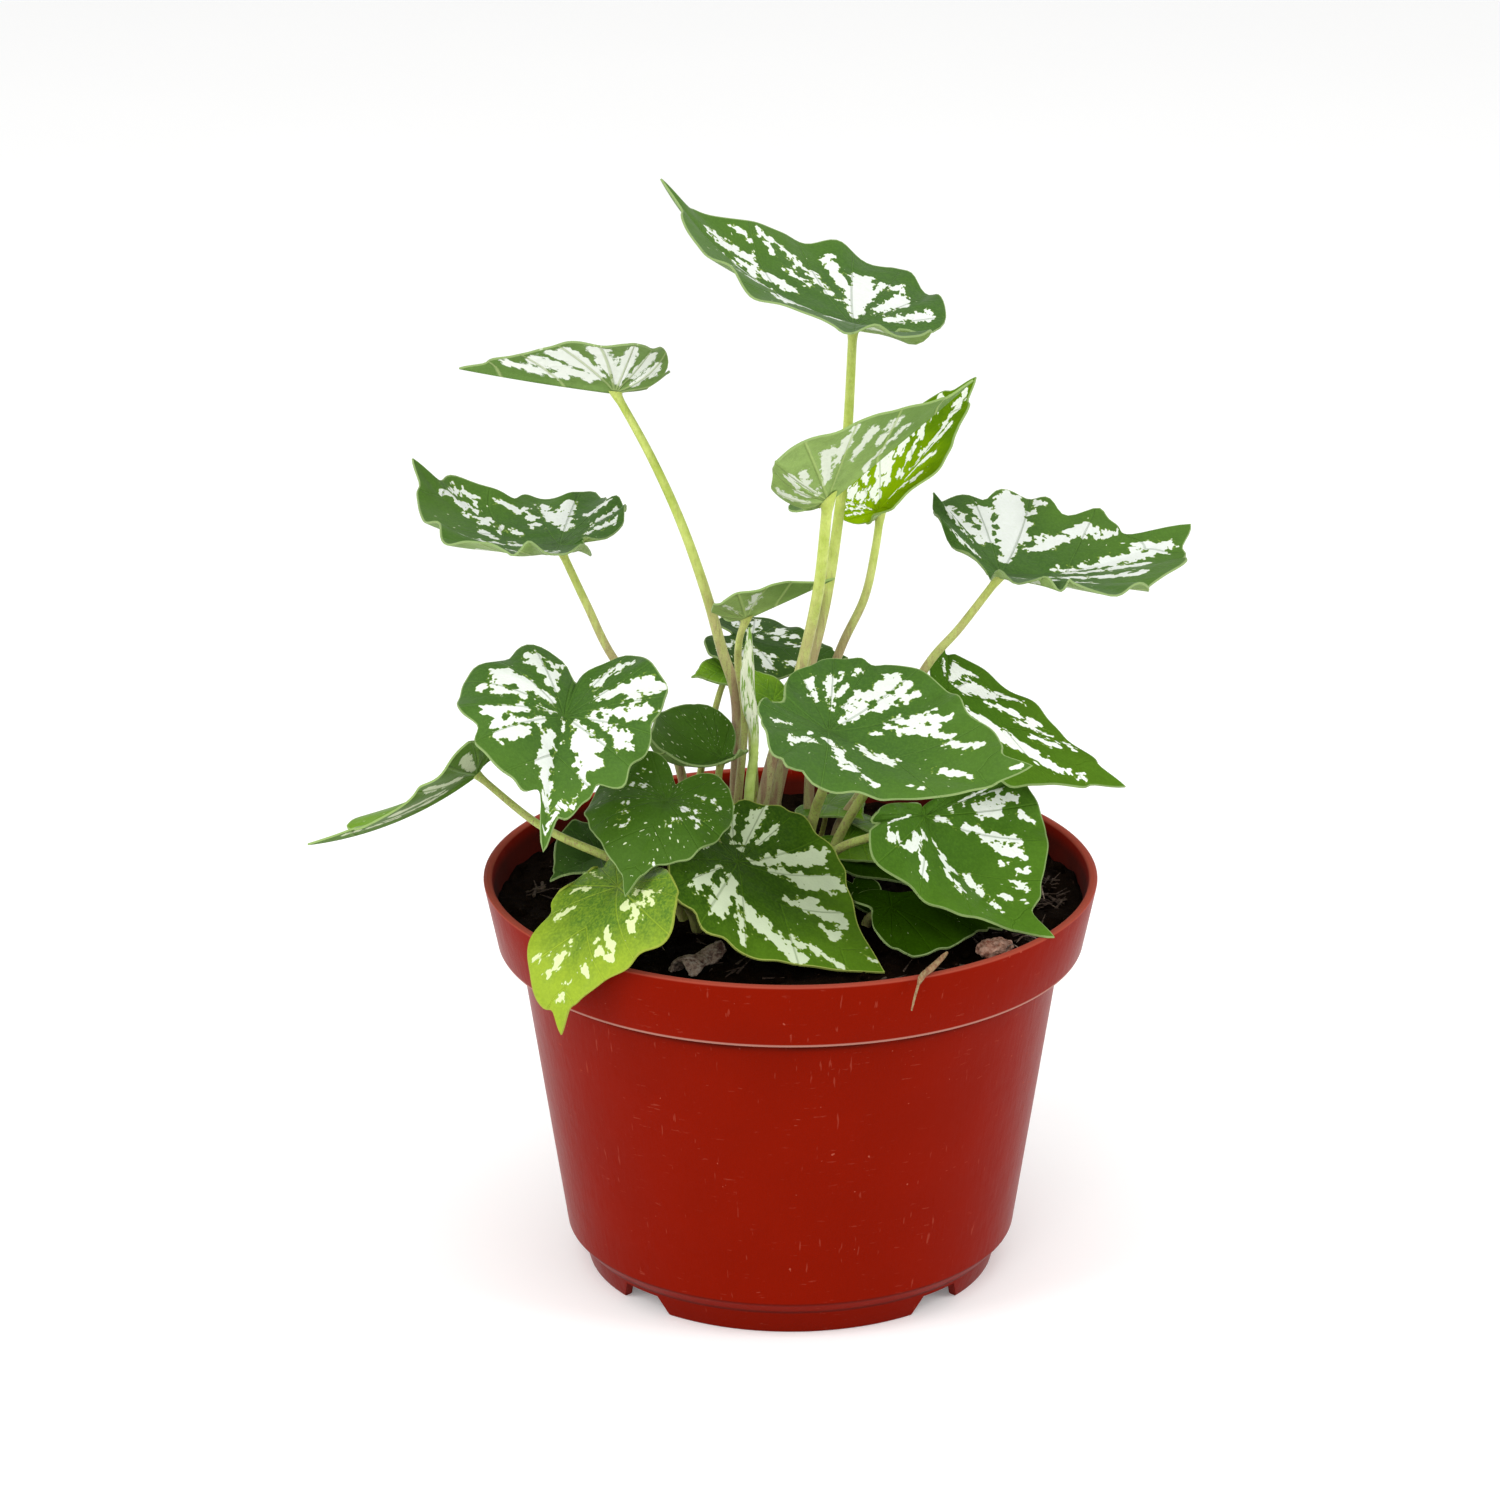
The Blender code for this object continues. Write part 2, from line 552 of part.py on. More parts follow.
def build_young_leaf():
    """A young leaf, still rolled into a spindle round its midrib."""
    top, under = stem_feet(YOUNG_BASE, YOUNG_ROUTE[0])
    knots = [under, top] + list(YOUNG_ROUTE)
    route = smooth_route(knots, STALK_STEP)
    share = np.linspace(0, 1, len(route))
    radii = np.interp(share, *zip(*YOUNG_WIDTH))
    points, faces = tube(route, radii, STALK_SIDES + 1)
    add_object("young_leaf_rolled", mesh_from("young", points, faces),
               make_material("young_green", FRESH, 0.45), 50)
    return top, radii[0], under


# Loose bits on the soil
def build_bark(name, centre, heading, length, width, thickness):
    """A curled chip of bark, lying just above the soil."""
    rows, columns = 7, 5
    points = []
    for row in range(rows):
        s = row / (rows - 1) - 0.5
        for column in range(columns):
            t = column / (columns - 1) - 0.5
            narrow = 1 - 0.5 * (2 * abs(s)) ** 2
            curl = thickness * (1 - (2 * t) ** 2) * 0.55
            points.append((s * length, t * width * narrow, curl + 0.5 * math.sin(9 * s)))
    spin = turned(points, heading)
    lift = max(soil_surface(centre[0] + x, centre[1] + y) - z for x, y, z in spin)
    points = [(centre[0] + x, centre[1] + y, z + lift + 0.9) for x, y, z in spin]
    faces = []
    for row in range(rows - 1):
        for column in range(columns - 1):
            a = row * columns + column
            faces += [(a, a + columns, a + columns + 1), (a, a + columns + 1, a + 1)]
    bark = add_object(name, mesh_from(name, points, faces), BARK_MATERIAL)
    thicken = bark.modifiers.new("thickness", "SOLIDIFY")
    thicken.thickness = 1.1 * MM
    thicken.offset = 0.0
    apply_modifiers(bark)


def build_straw():
    route = smooth_route(STRAW_POINTS, 4.0)
    taper = [STRAW_RADIUS * (1.0 - 0.5 * i / (len(route) - 1)) for i in range(len(route))]
    points, faces = tube(route, taper, 6)
    add_object("straw", mesh_from("straw", points, faces),
               make_material("straw_dry", STRAW_BROWN, 0.8), 50)


def triangulate(thing):
    """Splits the flat faces of a mesh that has no live modifiers."""
    mesh = bmesh.new()
    mesh.from_mesh(thing.data)
    bmesh.ops.triangulate(mesh, faces=mesh.faces[:])
    mesh.to_mesh(thing.data)
    mesh.free()


def centre_on_footprint(things):
    """Moves everything so that the middle of its footprint is the origin."""
    bpy.context.view_layer.update()
    depsgraph = bpy.context.evaluated_depsgraph_get()
    low, high = np.full(3, np.inf), np.full(3, -np.inf)
    for thing in things:
        evaluated = thing.evaluated_get(depsgraph)
        for corner in evaluated.data.vertices:
            place = np.array(evaluated.matrix_world @ corner.co)
            low, high = np.minimum(low, place), np.maximum(high, place)
    middle = (low + high) / 2
    for thing in bpy.context.scene.objects:
        thing.location.x -= middle[0]
        thing.location.y -= middle[1]


STALK_MATERIAL = make_material("stalk_green", STALK_GREEN, 0.5)
BARK_MATERIAL = make_material("bark_brown", BARK_BROWN, 0.9)

build_pot()
holes = []
for one in LEAVES:
    build_blade(one)
    holes.append(build_stalk(one)[1])
holes.append(build_young_leaf())
build_soil(holes)
for chip in BARK:
    build_bark(*chip)
build_straw()
for built in bpy.data.objects:
    if not built.modifiers and not built.hide_render:
        triangulate(built)
centre_on_footprint([o for o in bpy.data.objects if not o.hide_render])
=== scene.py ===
"""A young caladium with white-blotched leaves in a red plastic nursery pot."""
import math
import random
from collections import namedtuple

import bpy
import numpy as np
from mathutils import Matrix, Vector
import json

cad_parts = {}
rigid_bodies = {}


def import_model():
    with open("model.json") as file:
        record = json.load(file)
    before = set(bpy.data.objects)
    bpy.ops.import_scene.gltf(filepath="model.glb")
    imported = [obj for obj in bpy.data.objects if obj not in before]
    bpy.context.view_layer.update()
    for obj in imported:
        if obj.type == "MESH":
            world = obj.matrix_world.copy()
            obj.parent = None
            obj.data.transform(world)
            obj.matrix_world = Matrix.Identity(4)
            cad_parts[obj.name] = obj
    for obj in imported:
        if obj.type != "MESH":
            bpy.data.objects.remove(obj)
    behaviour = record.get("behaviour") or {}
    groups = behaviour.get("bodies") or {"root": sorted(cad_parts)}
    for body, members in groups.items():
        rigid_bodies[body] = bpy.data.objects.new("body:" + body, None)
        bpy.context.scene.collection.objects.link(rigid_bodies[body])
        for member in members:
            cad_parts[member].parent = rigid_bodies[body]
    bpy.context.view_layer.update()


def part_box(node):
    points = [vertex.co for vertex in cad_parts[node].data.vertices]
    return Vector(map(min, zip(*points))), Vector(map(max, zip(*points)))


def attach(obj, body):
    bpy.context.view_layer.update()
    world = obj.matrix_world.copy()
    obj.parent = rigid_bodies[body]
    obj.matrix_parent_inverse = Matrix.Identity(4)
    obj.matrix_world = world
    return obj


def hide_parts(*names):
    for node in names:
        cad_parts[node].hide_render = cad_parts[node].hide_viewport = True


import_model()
MM = 0.001


# Nursery pot. One piece of red polypropylene, injection-moulded with a deep
# rim band, a rolled lip and four feet. It stands on the floor by itself and
# every other piece stands in it.
POT_AXIS = (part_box("pot")[0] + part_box("pot")[1]) / 2
POT_HEIGHT = 93.5
RIM_TOP_RADIUS = 70.0
RIM_FOOT_RADIUS = 66.8
RIM_FOOT_HEIGHT = 78.0
BODY_TOP_RADIUS = 62.0
BODY_FOOT_RADIUS = 51.6
BODY_FOOT_HEIGHT = 9.0
FOOT_TOP_RADIUS = 48.3
FOOT_TOP_HEIGHT = 5.5
FOOT_RADIUS = 46.7
FOOT_WALL = 2.2
FLOOR_TOP = 7.1
WALL = 1.5
LIP_WIDTH = 2.0
POT_SIDES = 180
POT_EDGE = 0.45            # radius of its moulded edges
NOTCH_ANGLES = (45, 135, 225, 315)
NOTCH_HEIGHT = 4.6
NOTCH_WIDTH_TOP = 10.0
NOTCH_WIDTH_FOOT = 17.0
DRAIN_RADIUS = 3.0
DRAIN_CENTRE = 38.0
POT_RED = (0.194, 0.0056, 0.0002)
# Worn scuffs and scratches take this paler red, and so does the painted highlight along the top of
# the lip.
POT_RED_WEAR_AND_HIGHLIGHT = (0.36, 0.075, 0.045)


class Socket:
    """A shader socket that can be written in sums; its Math nodes are added as it is."""

    def __init__(self, skin, source):
        self.skin, self.source = skin, source

    def _math(self, kind, *values):
        return self.skin.node("Math", {"operation": kind}, *values)

    def __add__(self, other):
        return self._math("ADD", self, other)

    def __radd__(self, other):
        return self._math("ADD", other, self)

    def __sub__(self, other):
        return self._math("SUBTRACT", self, other)

    def __rsub__(self, other):
        return self._math("SUBTRACT", other, self)

    def __mul__(self, other):
        return self._math("MULTIPLY", self, other)

    def __rmul__(self, other):
        return self._math("MULTIPLY", other, self)

    def __abs__(self):
        return self._math("ABSOLUTE", self)

    def wrapped(self):
        """Distance to the nearest whole number, from 0 to 0.5."""
        return abs(self._math("FRACT", self + 0.5) - 0.5)

    def between(self, low, high):
        """0 below low, 1 above high and smooth between; turned round where high < low."""
        smooth = {"interpolation_type": "SMOOTHSTEP"}
        if low <= high:
            return self.skin.node("MapRange", smooth, Value=self, From_Min=low, From_Max=high)
        return self.skin.node("MapRange", smooth, Value=self, From_Min=high, From_Max=low,
                              To_Min=1.0, To_Max=0.0)


class Skin:
    """A material being written, one node at a time."""

    def __init__(self, name, **shader):
        self.material = bpy.data.materials.new(name)
        self.material.use_nodes = True
        self.tree = self.material.node_tree
        self.shader = self.tree.nodes["Principled BSDF"]
        for socket, value in shader.items():
            self.shader.inputs[socket.replace("_", " ")].default_value = value

    def node(self, kind, settings=None, *values, out=0, **named):
        """Adds a node: its settings first, then its sockets by place or by name."""
        made = self.tree.nodes.new("ShaderNode" + kind)
        for key, value in (settings or {}).items():
            setattr(made, key, value)
        usable = [s for s in made.inputs if s.enabled]
        pairs = list(zip(usable, values))
        for key, value in named.items():
            title = key.replace("_", " ")
            pairs.append((next(s for s in usable if s.name == title), value))
        for socket, value in pairs:
            if isinstance(value, Socket):
                self.tree.links.new(value.source, socket)
            elif isinstance(value, tuple) and len(value) == 3 and socket.type == "RGBA":
                socket.default_value = (*value, 1.0)
            else:
                socket.default_value = value
        outputs = [s for s in made.outputs if s.enabled]
        found = outputs[out] if isinstance(out, int) else next(s for s in outputs if s.name == out)
        return Socket(self, found)

    def mix(self, share, first, second):
        """A colour between two, by share."""
        return self.node("Mix", {"data_type": "RGBA", "clamp_factor": True}, share, first, second)

    def place(self):
        """Where a point is on the piece, in metres."""
        return self.node("TexCoord", out="Object")

    def noise(self, vector, scale, detail, roughness):
        return self.node("TexNoise", {"noise_dimensions": "3D"}, Vector=vector, Scale=scale,
                         Detail=detail, Roughness=roughness)

    def stretched(self, vector, x, y, z):
        return self.node("VectorMath", {"operation": "MULTIPLY"}, vector, (x, y, z))

    def number(self, name):
        """A number that the mesh carries under that name."""
        return self.node("Attribute", {"attribute_name": name}, out="Fac")

    def finish(self, colour, roughness, bumps=()):
        """Joins the colour, the roughness and the bumps, given as height and depth in metres."""
        links = self.tree.links
        links.new(colour.source, self.shader.inputs["Base Color"])
        if isinstance(roughness, Socket):
            links.new(roughness.source, self.shader.inputs["Roughness"])
        else:
            self.shader.inputs["Roughness"].default_value = roughness
        normal = None
        for height, depth in bumps:
            named = {"Height": height, "Distance": depth, "Strength": 1.0}
            if normal is not None:
                named["Normal"] = normal
            normal = self.node("Bump", None, **named)
        if normal is not None:
            links.new(normal.source, self.shader.inputs["Normal"])
        return self.material


def deselect():
    """Nothing is selected and no edit is open."""
    if bpy.context.object is not None and bpy.context.object.mode == "EDIT":
        bpy.ops.object.mode_set(mode="OBJECT")
    for thing in bpy.context.view_layer.objects:
        thing.select_set(False)


def pick(thing):
    """Only this piece is selected."""
    deselect()
    thing.select_set(True)
    bpy.context.view_layer.objects.active = thing


def settle(thing, name, material):
    """Puts a piece's place into its mesh and gives it its name and finish."""
    pick(thing)
    bpy.ops.object.transform_apply(location=True, rotation=True, scale=True)
    thing.name = name
    thing.data.name = name
    if material is not None:
        thing.data.materials.clear()
        thing.data.materials.append(material)
    return thing


def apply(thing, kind, **settings):
    """Adds a modifier and applies it at once."""
    pick(thing)
    made = thing.modifiers.new(kind.lower(), kind)
    for key, value in settings.items():
        setattr(made, key, value)
    bpy.ops.object.modifier_apply(modifier=made.name)


def draw_wall(radii_and_heights):
    """Draws a turned wall: a disc whose edge is pulled through each radius and height."""
    radius, height = radii_and_heights[0]
    deselect()
    bpy.ops.mesh.primitive_circle_add(vertices=POT_SIDES, radius=radius * MM, fill_type="NGON",
                                      location=(POT_AXIS.x, POT_AXIS.y, height * MM))
    bpy.ops.object.mode_set(mode="EDIT")
    bpy.ops.mesh.select_mode(type="EDGE")
    for new_radius, new_height in radii_and_heights[1:]:
        bpy.ops.mesh.extrude_edges_move(
            TRANSFORM_OT_translate={"value": (0, 0, (new_height - height) * MM)})
        share = new_radius / radius
        bpy.ops.transform.resize(value=(share, share, 1.0),
                                 center_override=(POT_AXIS.x, POT_AXIS.y, 0.0))
        radius, height = new_radius, new_height
    bpy.ops.mesh.edge_face_add()
    bpy.ops.mesh.select_all(action="SELECT")
    bpy.ops.mesh.normals_make_consistent(inside=False)
    bpy.ops.object.mode_set(mode="OBJECT")
    return bpy.context.object


def cut_from(thing, cutter):
    """Cuts one shape out of another."""
    apply(thing, "BOOLEAN", operation="DIFFERENCE", solver="EXACT", object=cutter)
    bpy.data.objects.remove(cutter)


pot = draw_wall((
    (FOOT_TOP_RADIUS - WALL, FLOOR_TOP),
    (BODY_FOOT_RADIUS - WALL, BODY_FOOT_HEIGHT + 1.0),
    (BODY_TOP_RADIUS - WALL, RIM_FOOT_HEIGHT),
    (RIM_FOOT_RADIUS - WALL, RIM_FOOT_HEIGHT + WALL),
    (RIM_TOP_RADIUS - LIP_WIDTH, POT_HEIGHT),
    (RIM_TOP_RADIUS, POT_HEIGHT),
    (RIM_FOOT_RADIUS, RIM_FOOT_HEIGHT),
    (BODY_TOP_RADIUS, RIM_FOOT_HEIGHT - 0.2),
    (BODY_FOOT_RADIUS, BODY_FOOT_HEIGHT),
    (FOOT_TOP_RADIUS, FOOT_TOP_HEIGHT),
    (FOOT_RADIUS, 0.0),
    (FOOT_RADIUS - FOOT_WALL, 0.0),
    (FOOT_TOP_RADIUS - FOOT_WALL, FOOT_TOP_HEIGHT),
))
apply(pot, "BEVEL", width=POT_EDGE * MM, segments=3, limit_method="ANGLE",
      angle_limit=math.radians(20))
for angle in NOTCH_ANGLES:
    turn = math.radians(angle)
    out = Vector((math.cos(turn), math.sin(turn), 0.0))
    deselect()
    bpy.ops.mesh.primitive_cube_add(size=1.0, rotation=(0, 0, turn))
    notch = bpy.context.object
    notch.scale = (11 * MM, NOTCH_WIDTH_FOOT * MM, (NOTCH_HEIGHT + 2) * MM)
    notch.location = POT_AXIS.copy()
    notch.location += out * (FOOT_RADIUS - 1.5) * MM
    notch.location.z = (NOTCH_HEIGHT / 2 - 1.0) * MM
    for corner in notch.data.vertices:
        if corner.co.z > 0:
            corner.co.y *= NOTCH_WIDTH_TOP / NOTCH_WIDTH_FOOT
    cut_from(pot, notch)
    deselect()
    bpy.ops.mesh.primitive_cylinder_add(vertices=32, radius=DRAIN_RADIUS * MM, depth=6 * MM)
    drain = bpy.context.object
    drain.location = POT_AXIS.copy()
    drain.location += out * DRAIN_CENTRE * MM
    drain.location.z = (FOOT_TOP_HEIGHT + 1.0) * MM
    cut_from(pot, drain)

red = Skin("pot_plastic", IOR=1.45, Specular_IOR_Level=0.02,
           Sheen_Weight=0.02, Sheen_Roughness=0.35)
place = red.place()
height = red.node("SeparateXYZ", None, place, out="Z")
from_axis = red.node("VectorMath", {"operation": "SUBTRACT"}, place, (POT_AXIS.x, 0.0, 0.0))
level = red.stretched(from_axis, 1.0, 1.0, 0.0)
radius = red.node("VectorMath", {"operation": "LENGTH"}, level, out="Value")
wall_middle = height * 0.2 + (RIM_FOOT_RADIUS - WALL / 2 - 0.2 * RIM_FOOT_HEIGHT) * MM
inner = (radius - wall_middle).between(0.2 * MM, -0.2 * MM) * height.between(80 * MM, 81 * MM)
mottle = red.noise(place, 60.0, 3.0, 0.6)
grain = red.noise(place, 2600.0, 2.0, 0.6)
scuffs = red.noise(red.stretched(place, 1.0, 1.0, 7.0), 210.0, 3.0, 0.65)
scratches = red.noise(red.stretched(place, 1.0, 1.0, 0.07), 900.0, 2.0, 0.5)
dust = red.noise(place, 800.0, 1.0, 0.4).between(0.79, 0.82)
hairline = red.noise(red.stretched(place, 0.2, 0.2, 1.0), 1300.0, 1.0, 0.5)
worn = scuffs.between(0.66, 0.72) * 0.28 + scratches.between(0.70, 0.74) * 0.30 + dust * 0.8
worn = worn + hairline.between(0.775, 0.80) * mottle.between(0.48, 0.6) * 0.5
# Painted highlight: a paler band along the top of the lip.
lip_highlight = height.between((POT_HEIGHT - 0.55) * MM, (POT_HEIGHT - 0.15) * MM)
low = height.between((BODY_FOOT_HEIGHT + 0.5) * MM, (FOOT_TOP_HEIGHT - 1.5) * MM)


def ring(start, full, fades, end):
    """1 between two heights on the pot and smoothly 0 outside them."""
    return height.between(start * MM, full * MM) * height.between(end * MM, fades * MM)


# Painted highlight: a pale line along the foot of the rim band.
ledge_highlight = ring(RIM_FOOT_HEIGHT - 0.2, RIM_FOOT_HEIGHT, RIM_FOOT_HEIGHT + 0.5, RIM_FOOT_HEIGHT + 0.8)
shade = ring(RIM_FOOT_HEIGHT - 4.5, RIM_FOOT_HEIGHT - 0.6, RIM_FOOT_HEIGHT - 0.2, RIM_FOOT_HEIGHT)
# Painted shadow: a dark line just under the rim band, broken up by the mottle.
under_rim_shadow = ring(RIM_FOOT_HEIGHT - 3.4, RIM_FOOT_HEIGHT - 2.0, RIM_FOOT_HEIGHT - 0.25,
              RIM_FOOT_HEIGHT - 0.05)
# Painted shadow: dark lines in the two steps at the foot.
groove = (ring(BODY_FOOT_HEIGHT - 0.8, BODY_FOOT_HEIGHT - 0.4, BODY_FOOT_HEIGHT,
               BODY_FOOT_HEIGHT + 0.4)
          + ring(FOOT_TOP_HEIGHT - 0.2, FOOT_TOP_HEIGHT + 0.1, FOOT_TOP_HEIGHT + 0.6,
                 FOOT_TOP_HEIGHT + 1.0))
colour = red.mix(mottle.between(0.3, 0.7), tuple(0.95 * c for c in POT_RED), POT_RED)
colour = red.mix(worn, colour, POT_RED_WEAR_AND_HIGHLIGHT)
colour = red.mix(lip_highlight * 0.65, colour, POT_RED_WEAR_AND_HIGHLIGHT)
colour = red.mix(ledge_highlight * 0.7, colour, (0.42, 0.22, 0.17))
# Painted shade under the rim band, painted shadow in the two steps at the foot, and darker towards
# the foot.
colour = red.mix(low * 0.25 + shade * 0.5 + groove * 0.6, colour, (0.075, 0.003, 0.0005))
colour = red.mix(under_rim_shadow * mottle.between(0.2, 0.5) * 0.7, colour, (0.030, 0.003, 0.001))
# Painted shade: the inner face of the wall above the soil is darkened, fading out just under the
# lip.
under_lip = height.between((POT_HEIGHT - 0.1) * MM, (POT_HEIGHT - 3.5) * MM)
inner_wall_shade = inner * under_lip * (0.55 + mottle * 0.5)
colour = red.mix(inner_wall_shade, colour, (0.028, 0.006, 0.004))
settle(pot, "nursery_pot", red.finish(
    colour, 0.27 + mottle * 0.08 + worn * 0.4 + inner * 0.3,
    ((grain, 0.00003), (mottle, 0.0003), (scratches, 0.00004))))
pick(pot)
bpy.ops.object.shade_smooth_by_angle(angle=math.radians(28))
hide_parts("pot")
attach(pot, "root")


# Potting soil. Dark moist peat with coarse crumbs, filled to a little below
# the lip and pressed by hand, so it lies in low lumps.
SOIL_HEIGHT = 87.0
SOIL_WAVE = 0.7
SOIL_RINGS = 56
SOIL_CRUMBS = 420
SOIL_EDGE = 66.6


def soil_surface(x, y):
    """Height of the soil at a place from the pot's axis, in millimetres."""
    lumps = math.sin(0.17 * x + 1.0) * math.cos(0.21 * y) + 0.6 * math.sin(0.31 * y - 0.23 * x)
    mound = math.exp(-(x * x + y * y) / 900.0)
    return SOIL_HEIGHT + SOIL_WAVE * lumps + 1.2 * mound


def cloud(name, size, depth=2):
    """A soft cloud pattern for pushing a surface in and out."""
    made = bpy.data.textures.new(name, "CLOUDS")
    made.noise_scale = size * MM
    made.noise_depth = depth
    return made


deselect()
bpy.ops.mesh.primitive_circle_add(vertices=180, radius=SOIL_EDGE * MM, fill_type="NOTHING",
                                  location=(POT_AXIS.x, POT_AXIS.y, (SOIL_HEIGHT - 8) * MM))
bpy.ops.object.mode_set(mode="EDIT")
bpy.ops.mesh.select_mode(type="EDGE")
bpy.ops.mesh.extrude_edges_move(TRANSFORM_OT_translate={"value": (0, 0, 8 * MM)})
for ring in range(SOIL_RINGS, 1, -1):
    bpy.ops.mesh.extrude_edges_move()
    share = (ring - 1) / ring
    bpy.ops.transform.resize(value=(share, share, 1.0),
                             center_override=(POT_AXIS.x, POT_AXIS.y, 0.0))
bpy.ops.mesh.edge_face_add()
bpy.ops.mesh.select_all(action="SELECT")
bpy.ops.mesh.normals_make_consistent(inside=False)
bpy.ops.object.mode_set(mode="OBJECT")
soil = bpy.context.object
bpy.ops.object.transform_apply(location=True, rotation=True, scale=True)
for point in soil.data.vertices:
    if point.co.z > (SOIL_HEIGHT - 1) * MM:
        away = point.co - POT_AXIS
        point.co.z = soil_surface(away.x / MM, away.y / MM) * MM
top = soil.vertex_groups.new(name="top")
top.add([p.index for p in soil.data.vertices if p.co.z > (SOIL_HEIGHT - 3) * MM], 1.0, "REPLACE")
for size, strength in ((9.0, 2.6), (3.2, 2.0), (1.3, 1.3)):
    apply(soil, "DISPLACE", texture=cloud(f"peat_{size}", size), strength=strength * MM,
          mid_level=0.5, direction="Z", vertex_group="top")

peat = Skin("peat", Specular_IOR_Level=0.02)
place = peat.place()
lumps = peat.noise(place, 420.0, 4.0, 0.7)
grains = peat.noise(place, 1700.0, 3.0, 0.7)
fibres = peat.noise(peat.stretched(place, 1.0, 0.16, 1.0), 1100.0, 2.0, 0.6)
colour = peat.mix(lumps.between(0.35, 0.7), (0.0046, 0.0023, 0.0009), (0.0105, 0.0052, 0.0023))
colour = peat.mix(grains.between(0.62, 0.76) * 0.7, colour, (0.024, 0.013, 0.007))
colour = peat.mix(fibres.between(0.69, 0.74) * 0.6, colour, (0.06, 0.034, 0.024))
peat_finish = peat.finish(colour, 0.88, ((lumps, 0.0016), (grains, 0.0007)))
settle(soil, "peat_surface", peat_finish)
bpy.ops.object.shade_smooth()
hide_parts("soil")
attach(soil, "root")


def join(things, name, material):
    """Makes one piece of several."""
    pick(things[0])
    for thing in things:
        thing.select_set(True)
    if len(things) > 1:
        bpy.ops.object.join()
    return settle(bpy.context.object, name, material)


def copy_of(thing):
    """A copy with a mesh of its own."""
    twin = thing.copy()
    twin.data = thing.data.copy()
    bpy.context.collection.objects.link(twin)
    return twin


chance = random.Random(5)
deselect()
bpy.ops.mesh.primitive_ico_sphere_add(subdivisions=2, radius=1.0)
crumb = bpy.context.object
apply(crumb, "DISPLACE", texture=cloud("crumb", 700.0), strength=0.9, mid_level=0.5)
crumbs = []
for number in range(SOIL_CRUMBS):
    away = (SOIL_EDGE - 1.5) * math.sqrt(chance.random())
    turn = chance.uniform(0, 2 * math.pi)
    x, y = away * math.cos(turn), away * math.sin(turn)
    size = chance.choice((0.5, 0.6, 0.8, 1.0, 1.5))
    twin = copy_of(crumb)
    twin.scale = [size * chance.uniform(0.6, 1.2) * MM for _ in range(3)]
    twin.rotation_euler = [chance.uniform(0, 6.28) for _ in range(3)]
    twin.location = (POT_AXIS.x + x * MM, POT_AXIS.y + y * MM,
                     (soil_surface(x, y) + 0.3 * size) * MM)
    crumbs.append(twin)
bpy.data.objects.remove(crumb)
crumbs = join(crumbs, "peat_crumbs", peat_finish)
bpy.ops.object.shade_smooth()
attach(crumbs, "root")


# Leaves. Each is a thin heart-shaped blade, green with white blotches between
# its veins, on a long round stalk that joins it from below, a little in from
# the notch. The blades droop, cup and ripple, each its own way.
BLADE = 0.45
RIB = 0.75                # how far the main veins stand out underneath
RIB_WIDTH = 0.8
RIB_MIDDLE = 2.2          # radius of the thick place over the stalk
MAIN_VEINS = ((0, 1.0), (150, 0.7), (110, 0.5), (75, 0.5), (-150, 0.7), (-110, 0.5), (-75, 0.5))
SMALL_LEAF = 15
BLADE_WAVES_START = 0.35
SIDE_SHARE = 0.655
TIP_ANGLE = 14.0
SINUS_SHARE = 0.385
SINUS_ANGLE = 18.0
DIRECTIONS = 144
REACHES = 30
VEIN_STEP = 25.0          # degrees between neighbouring side veins
VEIN_RUN = 62.0           # degrees of vein per length of midrib
BLOTCH_SHARE = 0.78

Leaf = namedtuple(
    "Leaf",
    "name joint heading pitch roll length width lobe fold curl bend back twist "
    "wave kind base stalk route",
)


def leaf(name, joint, heading, pitch, roll, length, base, stalk=(1.3, 0.9), route=(),
         width=(1.0, 1.0), lobe=0.7, fold=(10, 10), curl=(-15, -15), bend=20, back=15,
         twist=0, wave=(0.9, 9, 0), kind="green"):
    """One leaf.

    joint is where the stalk meets the blade; heading, pitch and roll turn the
    midrib there. Pairs are for the left and right half. fold lifts a half at
    the midrib, curl goes on bending it to the margin, bend droops the midrib
    to its tip, back lifts the back lobes, and wave is the height, number and
    phase of the ripples in the margin. base is where the stalk leaves the
    soil, stalk its radius there and at the blade, and route what it passes.
    """
    return Leaf(name, joint, heading, pitch, roll, length, width, lobe, fold, curl, bend,
                back, twist, wave, kind, base, stalk, route)


